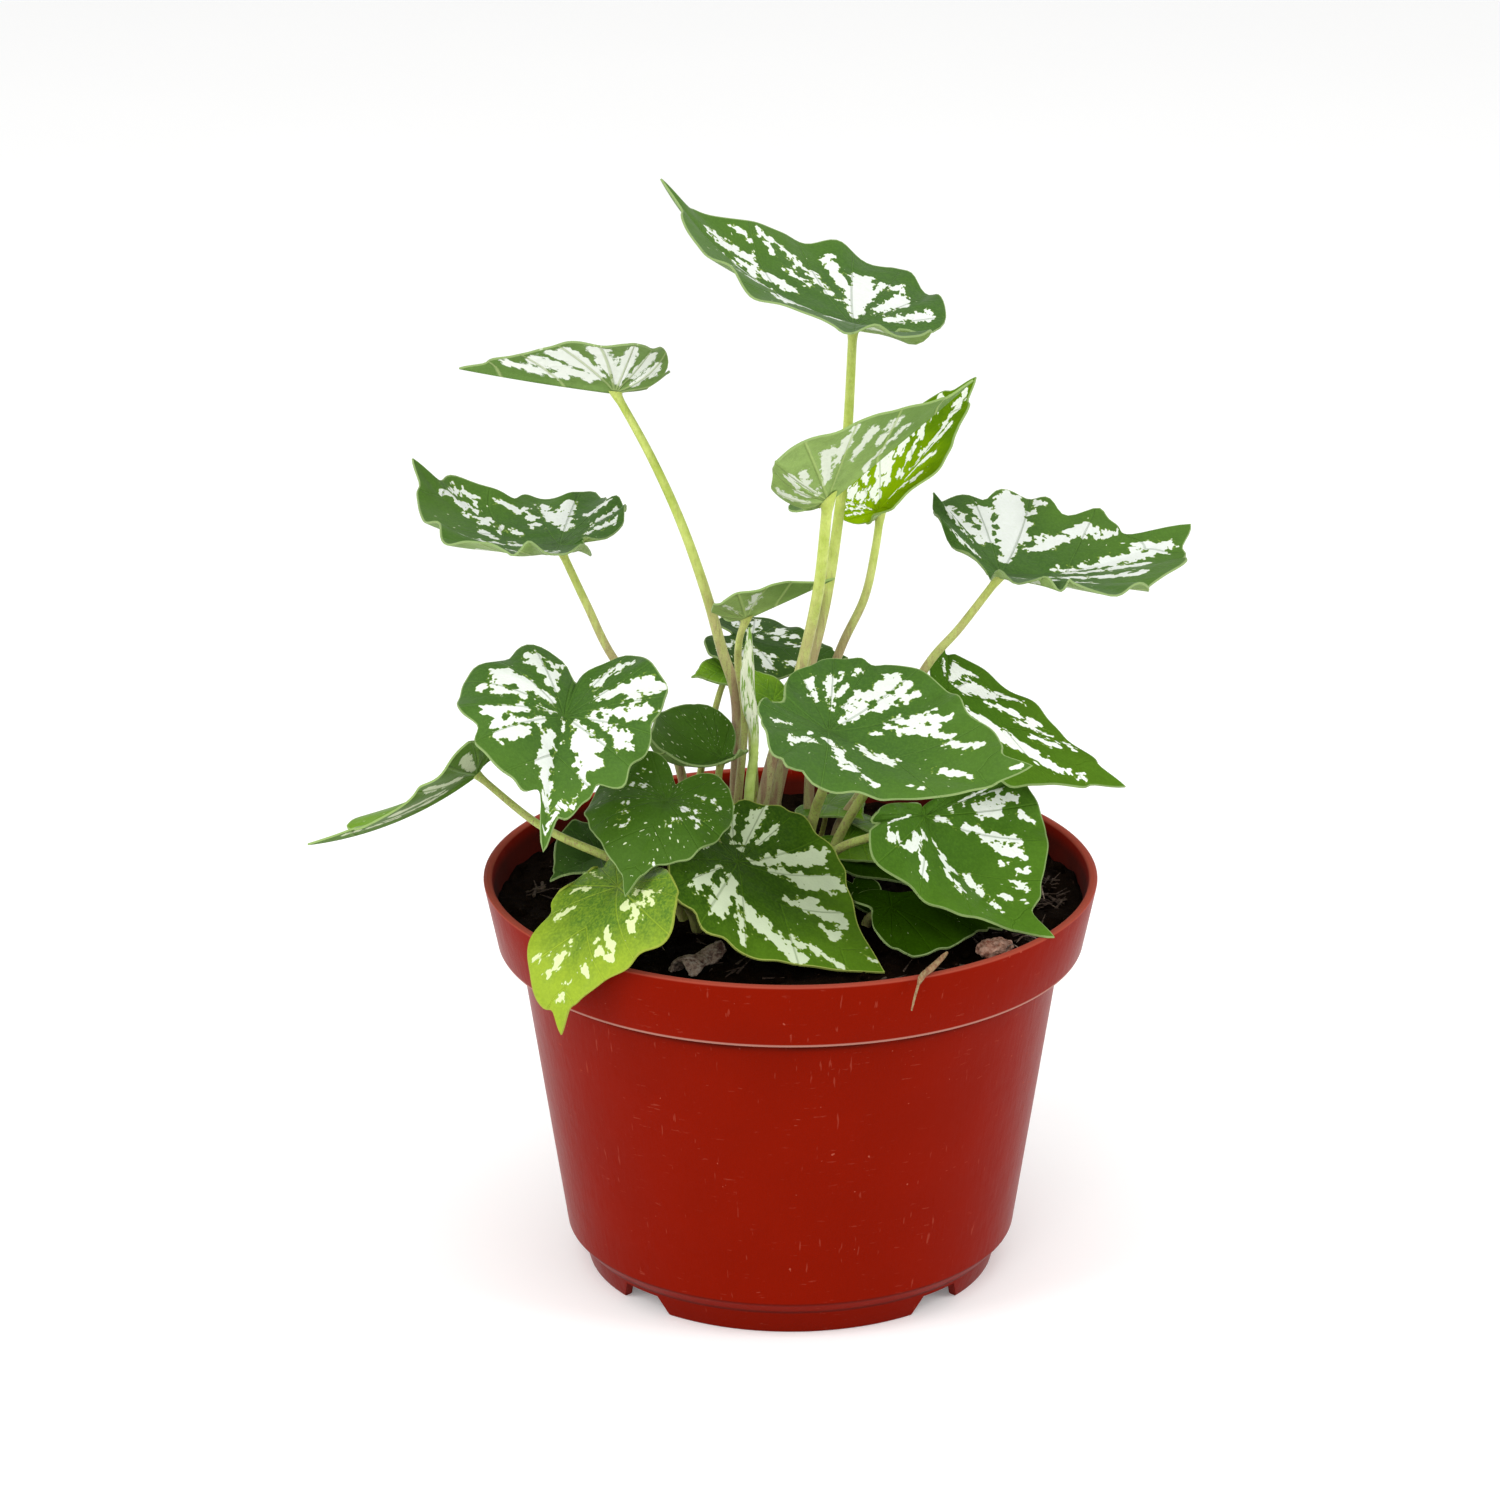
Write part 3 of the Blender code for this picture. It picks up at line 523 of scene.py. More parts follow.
LEAVES = (
    leaf("01", (14, 7, 220.6), 169, 14, 15, 56, (-5, 11.5), (1.6, 1.0),
         ((12.8, 12, 194.8), (11.3, 12.5, 178.2), (8, 12, 154.8), (2.8, 11, 133), (-3.5, 11, 107)),
         lobe=0.62, fold=(7, 20), curl=(-10, 3), bend=-40, back=33, twist=-6,
         wave=(1.3, 10, 40)),
    leaf("02", (-39, 5, 206.5), 184, 8, 17, 35, (-14, 15.5), (1.6, 0.9),
         ((-31.4, 6, 191), (-24.8, 8, 175), (-19.3, 9.5, 158), (-15.5, 11, 143),
          (-12.2, 12.5, 129.4), (-12.7, 14.5, 105)),
         lobe=0.75, fold=(36, 16), curl=(-21, -25), bend=-3, back=95, twist=-3,
         wave=(0.5, 8, 0),
         kind="sheer"),
    leaf("03", (-52, 10, 168.5), 160, -6, 16, 43, (-23.5, 16), (1.2, 0.9),
         ((-46, 10.5, 154), (-40.3, 12, 141), (-29, 14, 124), (-24, 15.5, 106)),
         width=(1.05, 1.0), lobe=0.5, fold=(-12, 24), curl=(23, -2), bend=-53, back=26,
         wave=(1.5, 10, 60)),
    leaf("04", (8, -14, 187.2), 5, 39, -28, 42, (-9, 4), (1.5, 1.2),
         ((6, -9, 163), (1.2, -3, 139), (-3, 1, 124.5), (-6.2, 3, 110)),
         width=(0.62, 1.05), lobe=0.48, fold=(7, 13), curl=(9, 7), bend=-1, back=210,
         twist=8, wave=(0.5, 8, 0), kind="fresh"),
    leaf("05", (20, 16, 174.6), 30, 46, -24, 38, (4, 17), (1.3, 0.9),
         ((19.1, 16, 165), (16.7, 16, 153.7), (10.8, 16, 140), (5, 16.5, 118)),
         lobe=0.25, fold=(17, 14), curl=(-12, -15), bend=-3, back=20, twist=26,
         wave=(0.5, 8, 0), kind="backlit"),
    leaf("06", (47.2, 8, 162.3), 25, -11, -20, 54, (10, 14), (1.3, 0.9),
         ((38.6, 10, 149.2), (29.8, 12, 137), (18, 13.5, 111), (11, 14, 99)),
         width=(1.0, 0.95), lobe=0.22, fold=(38, -10), curl=(-9, 5), bend=-31, back=11,
         twist=11, wave=(1.4, 11, 20)),
    leaf("07", (-50, -26, 140.2), -99, -21, 11, 37, (-23, 5), (1.3, 0.9),
         ((-46, -15, 134), (-37, -3, 124), (-27, 3, 107)),
         width=(0.91, 1.02), lobe=1.05, fold=(5, 50), curl=(-18, -50), bend=20, back=-27,
         twist=-18, wave=(0.9, 9, 20)),
    leaf("08", (-71.4, -4, 119.2), 203.5, -32, 24, 42, (-24, -15), (1.2, 0.8),
         ((-59.3, -10, 110.7), (-51.4, -17, 108.4), (-40.6, -20, 104.5), (-29, -18, 97)),
         lobe=0.39, fold=(12, 12), curl=(8, -30), bend=-30, back=120, twist=-8,
         wave=(0.8, 9, 0), kind="hanging"),
    leaf("09", (-15.7, 0, 121), 200, -11, -29, 26, (-17, 4), (1.1, 0.8),
         ((-16.5, 2, 114), (-17, 3.5, 100)),
         width=(1.0, 1.07), lobe=0.42, fold=(41, 3), curl=(27, -11), bend=-86, back=63,
         twist=-14, wave=(0.4, 8, 0), kind="dotted"),
    leaf("10", (-27.3, -34, 123.4), -108, -10, -11, 28, (-19, -9), (1.2, 0.9),
         ((-25, -19, 111), (-21, -12, 99)),
         width=(0.83, 1.01), lobe=0.9, fold=(5, 11), curl=(-33, -54), bend=46, back=32,
         twist=10, wave=(0.6, 9, 0), kind="dotted"),
    leaf("11", (-38, -43, 106.5), -142, -30, 20, 36, (-21, -20.5), (1.2, 0.9),
         ((-31, -33, 101), (-23.5, -24, 95)),
         width=(1.0, 0.88), lobe=0.35, fold=(3, 18), curl=(-25, -18), bend=52, back=10, twist=-28,
         wave=(0.6, 9, 0), kind="yellow"),
    leaf("12", (-43, -8, 100.3), 227, 3, -11, 16, (-30, -4), (1.0, 0.8),
         ((-39.5, -7, 96.5), (-33.5, -5, 94)),
         fold=(22, 26), curl=(0, 0), bend=17, wave=(0.4, 7, 0), kind="dark"),
    leaf("13", (-11.7, -31, 107.8), -30, -41, -11, 42, (-4, -14), (1.3, 0.9),
         ((-11.5, -28, 104), (-6.5, -19, 95)),
         width=(1.0, 0.97), lobe=0.5, fold=(2, 0), curl=(30, -20), bend=-26, twist=19,
         back=0, wave=(0.35, 10, 0), kind="shaded"),
    leaf("14", (8.4, -40, 142), -21, -23, 7, 49, (2, -2), (1.4, 1.0),
         ((8.0, -31, 131), (7.4, -19, 121), (5.6, -8.5, 111.5), (3.2, -4, 99)),
         width=(0.91, 0.75), lobe=0.57, fold=(6, 11), curl=(8, -10), bend=-44, back=37,
         twist=24, wave=(1.0, 11, 0)),
    leaf("15", (35.8, 10, 133.4), -4, -35, 4, 46, (8, 6), (1.3, 0.9),
         ((29, 7, 126), (19, 4.5, 114), (11, 5, 100)),
         width=(0.8, 1.0), lobe=0.25, fold=(-2, 4), curl=(0, -5), bend=-14, back=19,
         twist=12, wave=(0.8, 10, 0),
         kind="side"),
    leaf("16", (30, -18, 113.8), -46, -57, -13, 45, (6, -8), (1.2, 0.9),
         ((26, -15, 111), (19.3, -12, 107), (9.2, -9, 101)),
         width=(1.05, 1.0), lobe=0.16, fold=(20, 22), curl=(-9, -28), bend=-60, back=13,
         twist=11, wave=(0.9, 10, 0),
         kind="low"),
    leaf("17", (22.5, -31.5, 97.2), 16, -1, 0, 28, (17, -19), (1.1, 0.8),
         ((21.5, -28, 94), (18.8, -22.5, 91.8)),
         lobe=0.4, fold=(0, -3), curl=(-18, -24), bend=33, back=1, wave=(0.4, 9, 0), kind="deep"),
    leaf("18", (-10, 0, 155), -7, 26, -15, 22.5, (-13.5, 9.5), (1.1, 0.8),
         ((-11.5, 1.5, 149), (-11.8, 5, 141), (-10.4, 8, 128), (-12, 8.5, 108)),
         width=(1.0, 0.97), lobe=0.57, fold=(8, 28), curl=(-11, -15), bend=-1, back=110,
         twist=-1, wave=(0.4, 8, 0), kind="fresh"),
    leaf("19", (-8.9, 31, 138.7), -11, -14, 7, 23, (-8, 23), (1.2, 0.9),
         ((-9.2, 29.5, 130), (-8.6, 26, 110)),
         width=(0.89, 0.92), lobe=0.79, fold=(-2, -5), curl=(-4, 1), bend=-15, back=2, twist=10,
         wave=(0.5, 9, 0), kind="dark"),
    leaf("20", (-14.5, 20, 134.7), 205, 10, -17, 9, (-22, 21), (1.0, 0.7),
         ((-17, 19, 127), (-21, 20.5, 108)),
         lobe=0.8, wave=(0.2, 7, 0), kind="fresh"),
    leaf("21", (-4, 7, 132.5), 147, 58, -5, 9, (-2, 22.5), (1.0, 0.7),
         ((-4.3, 10.5, 125.5), (-3.5, 17, 111)),
         lobe=0.85, wave=(0.2, 7, 0), kind="fresh"),
)

# The white blotches of the leaves that show them: angle from the tip and
# reach from the joint where a blotch starts and ends, and its half-width
# there, in hundredths of the leaf's length.
BLOTCHES = {
    "01": (
        (-6, 0.86, 2, -10, 0.74, 3), (-4, 0.78, 2, -14, 0.68, 4), (-5, 0.6, 3, -16, 0.42, 4),
        (-1, 0.6, 1, -4, 0.48, 2), (-18, 0.95, 1, -22, 0.87, 2), (-28, 0.92, 2, -35, 0.85, 3),
        (-30, 0.83, 2, -30, 0.74, 2), (-37, 0.82, 2, -43, 0.7, 3), (-32, 0.62, 2, -36, 0.48, 2),
        (-42, 0.67, 2, -49, 0.58, 3), (-48, 0.52, 3, -56, 0.38, 2), (-61, 0.8, 4, -65, 0.68, 4),
        (-65, 0.63, 4, -73, 0.48, 4), (-82, 0.12, 2, -80, 0.4, 8), (-80, 0.4, 8, -82, 0.72, 6),
        (-90, 0.5, 4, -95, 0.72, 4), (-110, 0.32, 3, -120, 0.66, 8),
        (-104, 0.7, 3, -110, 0.78, 3), (-138, 0.35, 3, -148, 0.8, 6), (75, 0.3, 2, 85, 0.65, 4),
        (50, 0.4, 3, 52, 0.7, 4), (15, 0.5, 3, 22, 0.75, 4), (120, 0.4, 3, 118, 0.75, 5),
        (4, 0.35, 2, 6, 0.6, 3),
    ),
    "02": (
        (96, 0.18, 6, 100, 0.82, 12), (76, 0.35, 6, 72, 0.86, 10), (54, 0.3, 6, 46, 0.84, 10),
        (34, 0.3, 6, 26, 0.84, 8), (16, 0.45, 5, 12, 0.9, 6), (126, 0.35, 6, 132, 0.8, 10),
        (150, 0.3, 5, 152, 0.75, 7), (52, 0.6, 6, 40, 0.92, 6), (-90, 0.3, 6, -92, 0.8, 10),
        (-50, 0.3, 6, -46, 0.8, 10), (-20, 0.4, 5, -14, 0.85, 6), (-130, 0.3, 5, -132, 0.8, 8),
    ),
    "03": (
        (-4, 0.84, 3, -11, 0.7, 4), (-6, 0.96, 1, -18, 0.85, 3), (-3, 0.62, 2, -8, 0.54, 4),
        (-7, 0.5, 3, -13, 0.34, 3), (8, 0.5, 3, 15, 0.42, 3), (-25, 0.85, 2, -35, 0.72, 6),
        (-40, 0.72, 3, -42, 0.4, 3), (-54, 0.8, 5, -62, 0.5, 5), (-70, 0.78, 6, -78, 0.34, 5),
        (-95, 0.6, 4, -104, 0.88, 6), (-125, 0.5, 3, -120, 0.88, 3), (-145, 0.4, 3, -148, 0.8, 5),
        (25, 0.3, 2, 35, 0.75, 4), (60, 0.3, 2, 62, 0.75, 5), (90, 0.3, 3, 92, 0.75, 6),
        (125, 0.35, 3, 122, 0.75, 5),
    ),
    "04": (
        (-22, 0.62, 3, -24, 0.88, 4), (-38, 0.5, 3, -36, 0.85, 4), (-58, 0.45, 3, -52, 0.85, 5),
        (-48, 0.8, 2, -50, 0.92, 4), (-70, 0.28, 3, -64, 0.75, 5), (-95, 0.2, 3, -100, 0.7, 6),
        (-92, 0.45, 3, -86, 0.62, 4), (-112, 0.5, 4, -108, 0.75, 4), (-128, 0.3, 3, -125, 0.5, 4),
        (-150, 0.3, 3, -148, 0.78, 6), (-142, 0.8, 2, -146, 0.9, 3), (40, 0.3, 3, 45, 0.8, 6),
        (80, 0.3, 3, 84, 0.8, 6), (120, 0.3, 3, 118, 0.75, 6), (10, 0.5, 3, 14, 0.8, 4),
        (-8, 0.3, 2, -12, 0.75, 3),
    ),
    "05": (
        (52, 0.2, 3, 50, 0.55, 7), (50, 0.55, 7, 44, 0.8, 7), (80, 0.4, 3, 84, 0.8, 7),
        (100, 0.3, 3, 104, 0.8, 5), (122, 0.35, 2, 120, 0.8, 4), (28, 0.6, 3, 30, 0.85, 5),
        (22, 0.7, 4, 20, 0.9, 4), (24, 0.55, 2, 26, 0.7, 3), (10, 0.8, 2, 8, 0.93, 2),
        (-3, 0.35, 3, -4, 0.6, 5), (-4, 0.6, 5, -2, 0.93, 4), (-30, 0.4, 3, -32, 0.75, 5),
        (-60, 0.3, 3, -58, 0.7, 4), (62, 0.7, 3, 58, 0.85, 3), (66, 0.5, 2, 70, 0.7, 3),
        (140, 0.4, 2, 138, 0.8, 4), (38, 0.28, 3, 38, 0.62, 5), (14, 0.3, 2, 12, 0.72, 3),
        (64, 0.14, 2, 66, 0.42, 4), (104, 0.12, 2, 108, 0.4, 4), (34, 0.86, 2, 36, 0.93, 3),
        (-14, 0.5, 2, -10, 0.8, 4),
    ),
    "06": (
        (86, 0.4, 4, 92, 0.86, 7), (75, 0.42, 4, 73, 0.82, 6), (112, 0.45, 2, 106, 0.78, 4),
        (54, 0.2, 3, 57, 0.4, 6), (58, 0.4, 7, 58, 0.88, 9), (50, 0.52, 6, 53, 0.82, 6),
        (47, 0.86, 2, 44, 0.94, 4), (38, 0.4, 2, 30, 0.56, 6), (30, 0.56, 6, 28, 0.66, 4),
        (25, 0.74, 4, 22, 0.82, 5), (18, 0.84, 4, 12, 0.93, 2), (3, 0.28, 2, -1, 0.55, 4),
        (-1, 0.55, 5, -3, 0.82, 5), (2, 0.75, 4, -2, 0.84, 4), (-3, 0.88, 2, -3, 0.91, 2),
        (-8, 0.35, 2, -10, 0.78, 3), (-30, 0.3, 2, -28, 0.8, 5), (-55, 0.3, 3, -52, 0.8, 6),
        (-85, 0.3, 3, -82, 0.75, 6), (-120, 0.3, 3, -118, 0.75, 5), (145, 0.35, 2, 142, 0.75, 4),
    ),
    "07": (
        (150, 0.55, 4, 143, 0.85, 5), (145, 0.42, 2, 145, 0.5, 3), (122, 0.38, 4, 113, 0.84, 9),
        (107, 0.66, 4, 106, 0.93, 5), (90, 0.2, 1, 89, 0.5, 4), (89, 0.5, 5, 88, 0.84, 8),
        (74, 0.48, 4, 60, 0.8, 5), (66, 0.6, 4, 68, 0.75, 4), (46, 0.18, 4, 42, 0.55, 10),
        (30, 0.35, 5, 32, 0.68, 9), (24, 0.55, 4, 22, 0.86, 3), (9, 0.84, 2, 5, 0.93, 2),
        (14, 0.9, 2, 12, 0.97, 1), (80, 0.25, 1, 75, 0.4, 1), (-152, 0.35, 3, -146, 0.78, 7),
        (-156, 0.5, 4, -160, 0.75, 4), (-125, 0.22, 5, -112, 0.7, 10),
        (-98, 0.45, 4, -96, 0.8, 4), (-78, 0.18, 2, -68, 0.74, 6), (-48, 0.25, 2, -56, 0.8, 5),
        (-42, 0.5, 5, -46, 0.75, 7), (-22, 0.26, 4, -10, 0.52, 7), (-9, 0.5, 7, -2, 0.76, 5),
        (-1, 0.75, 3, 2, 0.92, 2), (2, 0.05, 1, 5, 0.25, 1),
    ),
    "08": (
        (-75, 0.25, 3, -62, 0.62, 6), (-14, 0.45, 3, -9, 0.62, 4), (-120, 0.4, 3, -118, 0.7, 5),
        (-6, 0.7, 3, -4, 0.85, 3), (60, 0.3, 3, 52, 0.8, 6), (20, 0.3, 3, 14, 0.75, 4),
        (88, 0.2, 3, 84, 0.75, 6), (36, 0.4, 3, 30, 0.85, 4), (8, 0.6, 2, 5, 0.92, 2),
    ),
    "10": (
        (75, 0.28, 2.8, 83, 0.45, 4.8), (70, 0.48, 2.8, 72, 0.6, 2.8),
        (66, 0.55, 1.8, 64, 0.62, 2.8), (128, 0.5, 2.8, 112, 0.76, 2.8),
        (76, 0.66, 1.8, 72, 0.72, 1.8), (40, 0.4, 2.8, 42, 0.44, 2.8),
        (28, 0.45, 2.8, 30, 0.49, 2.8), (-115, 0.45, 1.8, -124, 0.35, 1.8),
        (-105, 0.5, 2.8, -108, 0.54, 2.8), (-68, 0.5, 1.8, -66, 0.54, 2.8),
        (-46, 0.56, 2.8, -44, 0.62, 2.8), (-30, 0.6, 1.8, -28, 0.66, 1.8),
        (-140, 0.6, 1.8, -138, 0.66, 1.8), (12, 0.9, 1.8, 14, 0.94, 1.8),
    ),
    "11": (
        (88, 0.4, 3, 92, 0.6, 6), (62, 0.42, 3, 70, 0.64, 4), (62, 0.6, 4, 58, 0.74, 3),
        (70, 0.5, 2, 84, 0.68, 3), (34, 0.56, 4, 36, 0.72, 4), (24, 0.62, 4, 28, 0.78, 3),
        (14, 0.74, 3, 16, 0.84, 3), (32, 0.8, 2, 34, 0.84, 2), (-8, 0.5, 2, -10, 0.66, 3),
        (-10, 0.66, 4, -12, 0.78, 4), (-40, 0.5, 3, -44, 0.66, 4), (-24, 0.84, 3, -26, 0.92, 3),
        (3, 0.76, 2, -2, 0.84, 3), (-70, 0.4, 2, -72, 0.6, 3), (104, 0.75, 2, 96, 0.7, 2),
        (-100, 0.4, 2, -104, 0.7, 4),
    ),
    "13": (
        (158, 0.4, 2, 148, 0.92, 4), (128, 0.24, 3, 127, 0.55, 6), (128, 0.55, 7, 126, 0.86, 8),
        (105, 0.45, 4, 102, 0.7, 6), (66, 0.18, 2, 70, 0.5, 6), (70, 0.5, 6, 64, 0.86, 7),
        (55, 0.34, 2, 47, 0.62, 6), (46, 0.62, 7, 42, 0.88, 8), (11, 0.4, 2, 22, 0.6, 6),
        (20, 0.6, 7, 17, 0.86, 6), (8, 0.64, 2, 5, 0.75, 4), (-100, 0.34, 3, -93, 0.7, 8),
        (-68, 0.3, 5, -72, 0.72, 8), (-58, 0.48, 2, -52, 0.86, 3), (-52, 0.48, 4, -38, 0.64, 8),
        (-38, 0.64, 8, -24, 0.92, 6), (-17, 0.7, 3, -17, 0.8, 4), (-13, 0.78, 3, -8, 0.95, 2),
        (4, 0.93, 1, 2, 0.98, 1), (-150, 0.55, 2, -152, 0.65, 2),
    ),
    "14": (
        (118, 0.7, 3, 118, 0.8, 3), (107, 0.78, 3, 104, 0.84, 3), (126, 0.48, 4, 128, 0.66, 6),
        (114, 0.5, 4, 112, 0.58, 4), (146, 0.48, 3, 147, 0.78, 4), (122, 0.28, 2, 124, 0.42, 3),
        (76, 0.18, 2, 86, 0.4, 3), (94, 0.34, 3, 92, 0.54, 4), (78, 0.3, 4, 82, 0.82, 6),
        (68, 0.52, 4, 70, 0.78, 5), (64, 0.7, 2, 62, 0.84, 2), (48, 0.5, 3, 40, 0.75, 5),
        (38, 0.34, 2, 44, 0.48, 3), (35, 0.5, 3, 33, 0.72, 5), (35, 0.72, 3, 36, 0.86, 2),
        (27, 0.64, 1, 25, 0.78, 2), (18, 0.73, 3, 13, 0.9, 2), (-3, 0.6, 4, -3, 0.68, 5),
        (-4, 0.68, 2, -4, 0.8, 2), (0, 0.89, 1, 0, 0.93, 2), (-12, 0.2, 3, -6, 0.38, 4),
        (-16, 0.3, 3, -10, 0.42, 4), (-13, 0.42, 2, -14, 0.48, 2), (-68, 0.2, 3, -58, 0.58, 5),
        (-52, 0.54, 2, -47, 0.76, 3), (-98, 0.34, 3, -110, 0.64, 5),
        (-138, 0.54, 2, -138, 0.78, 3), (-118, 0.24, 1, -118, 0.3, 2),
        (-28, 0.8, 1, -26, 0.86, 2),
    ),
    "15": (
        (92, 0.3, 4, 88, 0.74, 7), (82, 0.64, 2, 78, 0.76, 3), (68, 0.28, 5, 66, 0.58, 8),
        (58, 0.44, 3, 55, 0.58, 5), (58, 0.54, 3, 58, 0.82, 3), (55, 0.75, 3, 50, 0.86, 3),
        (42, 0.42, 2, 36, 0.64, 5), (36, 0.64, 5, 28, 0.82, 4), (24, 0.58, 2, 20, 0.8, 3),
        (18, 0.84, 2, 18, 0.93, 2), (8, 0.58, 3, 10, 0.76, 4), (14, 0.82, 1, 12, 0.93, 2),
        (-24, 0.2, 4, -17, 0.5, 10), (-16, 0.5, 9, -10, 0.78, 6), (-60, 0.3, 3, -48, 0.7, 6),
        (-80, 0.3, 3, -76, 0.7, 6), (120, 0.4, 3, 118, 0.75, 4), (-8, 0.78, 3, -5, 0.9, 3),
    ),
    "16": (
        (88, 0.26, 2, 112, 0.6, 5), (96, 0.6, 4, 92, 0.74, 4), (82, 0.48, 3, 83, 0.82, 4),
        (74, 0.5, 5, 74, 0.64, 5), (60, 0.12, 1, 58, 0.22, 2), (52, 0.36, 3, 52, 0.41, 3),
        (50, 0.45, 3, 50, 0.74, 4), (42, 0.62, 4, 39, 0.8, 5), (70, 0.82, 2, 68, 0.86, 2),
        (28, 0.82, 3, 30, 0.86, 3), (20, 0.79, 2, 18, 0.88, 3), (3, 0.4, 3, 2, 0.53, 3),
        (2, 0.57, 2, 0, 0.64, 2), (8, 0.72, 2, 8, 0.75, 2), (10, 0.88, 1, 9, 0.91, 1),
        (-115, 0.4, 4, -100, 0.7, 5), (-80, 0.66, 4, -84, 0.74, 4), (-55, 0.26, 2, -66, 0.56, 6),
        (-52, 0.54, 3, -48, 0.72, 4), (-20, 0.2, 2, -15, 0.4, 4), (-8, 0.3, 2, -7, 0.4, 2),
        (-25, 0.48, 2, -18, 0.63, 4), (30, 0.62, 1, 30, 0.66, 2), (66, 0.9, 1, 64, 0.92, 1),
    ),
    "18": (
        (60, 0.3, 4, 55, 0.8, 7), (100, 0.3, 4, 100, 0.8, 7), (20, 0.5, 4, 14, 0.85, 4),
        (-60, 0.3, 4, -55, 0.8, 7), (-100, 0.3, 4, -100, 0.8, 7), (140, 0.4, 4, 140, 0.8, 5),
    ),
    "19": (
        (70, 0.22, 3, 62, 0.75, 7), (48, 0.4, 4, 40, 0.75, 6), (98, 0.3, 4, 95, 0.8, 8),
        (20, 0.5, 3, 15, 0.85, 4), (125, 0.35, 3, 130, 0.75, 6), (-60, 0.25, 4, -52, 0.78, 7),
        (-35, 0.5, 4, -25, 0.85, 5), (-95, 0.3, 4, -98, 0.75, 7), (-135, 0.35, 3, -130, 0.75, 5),
    ),
}


# Where the margins swell out or sink in: angle from the tip, width in
# degrees, and how far, over the radius there.
DRIP_TIP = ((5, 3, -0.05), (-5, 3, -0.05))
EDGES = {
    "03": ((-17, 6, 0.18), (-35, 7, -0.14), (-66, 8, -0.11), (-81, 5, 0.17), (-103, 7, -0.15),
           (-142, 10, -0.06)),
    "06": ((70, 5, -0.11), (58, 7, 0.13), (34, 5, -0.10), (25, 4, 0.09), (8, 6, -0.17),
           (-22, 8, 0.09), (-42, 6, -0.06)),
    "07": ((180, 9, 0.32), (-168, 5, 0.12), (160, 6, -0.05), (105, 12, 0.06), (80, 6, -0.05),
           (41, 6, 0.10), (29, 5, -0.11), (18, 4, -0.03), (5, 3, -0.04), (0, 2.5, 0.07),
           (-8, 6, -0.22),
           (-20, 5, -0.06), (-60, 7, -0.11), (-122, 7, -0.07), (-133, 5, -0.05), (-150, 6, 0.04)),
    "08": ((47, 9, -0.14), (-47, 9, -0.14), (10, 4, -0.10), (-10, 4, -0.10), (25, 7, 0.05),
           (-25, 7, 0.05)),
    "10": ((41, 8, 0.05), (13, 8, -0.07), (-10, 5, -0.03), (-70, 8, 0.06)),
    "11": ((-52, 9, -0.18), (-74, 16, -0.30), (-110, 22, -0.36), (-15, 9, 0.08), (75, 16, 0.14),
           (42, 8, 0.05)),
    "13": ((140, 9, 0.12), (80, 7, -0.06), (40, 9, -0.04), (20, 6, -0.01), (-80, 5, -0.08),
           (-90, 3, 0.02), (-62, 5, -0.04), (-5, 3, 0.05), (5, 3, 0.05)),
    "14": ((180, 10, 0.60), (170, 7, 0.15), (-170, 6, 0.15), (-140, 8, -0.08), (-91, 4, 0.08),
           (-84, 3, -0.08), (-62, 8, -0.08), (-42, 9, -0.11), (-20, 7, 0.04), (20, 8, 0.06),
           (103, 9, -0.11), (142, 8, -0.09)),
    "17": ((180, 12, 0.55), (152, 15, 0.08), (-152, 15, 0.08)),
    "16": ((60, 12, 0.05), (40, 8, 0.02), (8, 7, -0.08), (-10, 6, -0.04), (-30, 6, 0.04),
           (-52, 6, -0.05), (-103, 14, -0.14), (-145, 15, 0.20)),
}


def outline_radius(angle):
    """Radius of the heart shape over its length, at an angle from the tip."""
    a = np.abs(angle)
    tip = (1 - SIDE_SHARE) * np.exp(-a / TIP_ANGLE)
    sinus = SINUS_SHARE * np.exp(-((180 - a) / SINUS_ANGLE) ** 2)
    return SIDE_SHARE + tip - sinus


def edge_share(it, angle, reach):
    """How much farther out a point lies where the margin swells, or nearer where it sinks in."""
    turn = np.radians(angle)
    seed = 1.7 * it.heading + it.length
    swell = (0.006 * np.sin(7 * turn + seed) + 0.005 * np.sin(13 * turn + 2.1 * seed)
             + 0.004 * np.sin(23 * turn + 0.7 * seed))
    for middle, width, amount in EDGES.get(it.name, ()) + DRIP_TIP:
        swell = swell + amount * np.exp(-(((angle - middle + 180) % 360 - 180) / width) ** 2)
    return 1 + swell * reach ** 3


def arc(distance, start, curvature):
    """How far a curved strip goes along and up, from a starting slope."""
    safe = np.where(np.abs(curvature) < 1e-6, 1e-6, curvature)
    end = start + safe * distance
    return (np.sin(end) - np.sin(start)) / safe, (np.cos(start) - np.cos(end)) / safe


def blade_frame(it):
    """Directions of the midrib, of the left half and of the upper side at the joint."""
    heading, pitch, roll = (math.radians(a) for a in (it.heading, it.pitch, it.roll))
    along = np.array((math.cos(heading) * math.cos(pitch),
                      math.sin(heading) * math.cos(pitch), math.sin(pitch)))
    level = np.array((-math.sin(heading), math.cos(heading), 0.0))
    above = np.cross(along, level)
    side = level * math.cos(roll) + above * math.sin(roll)
    up = above * math.cos(roll) - level * math.sin(roll)
    return along, side, up


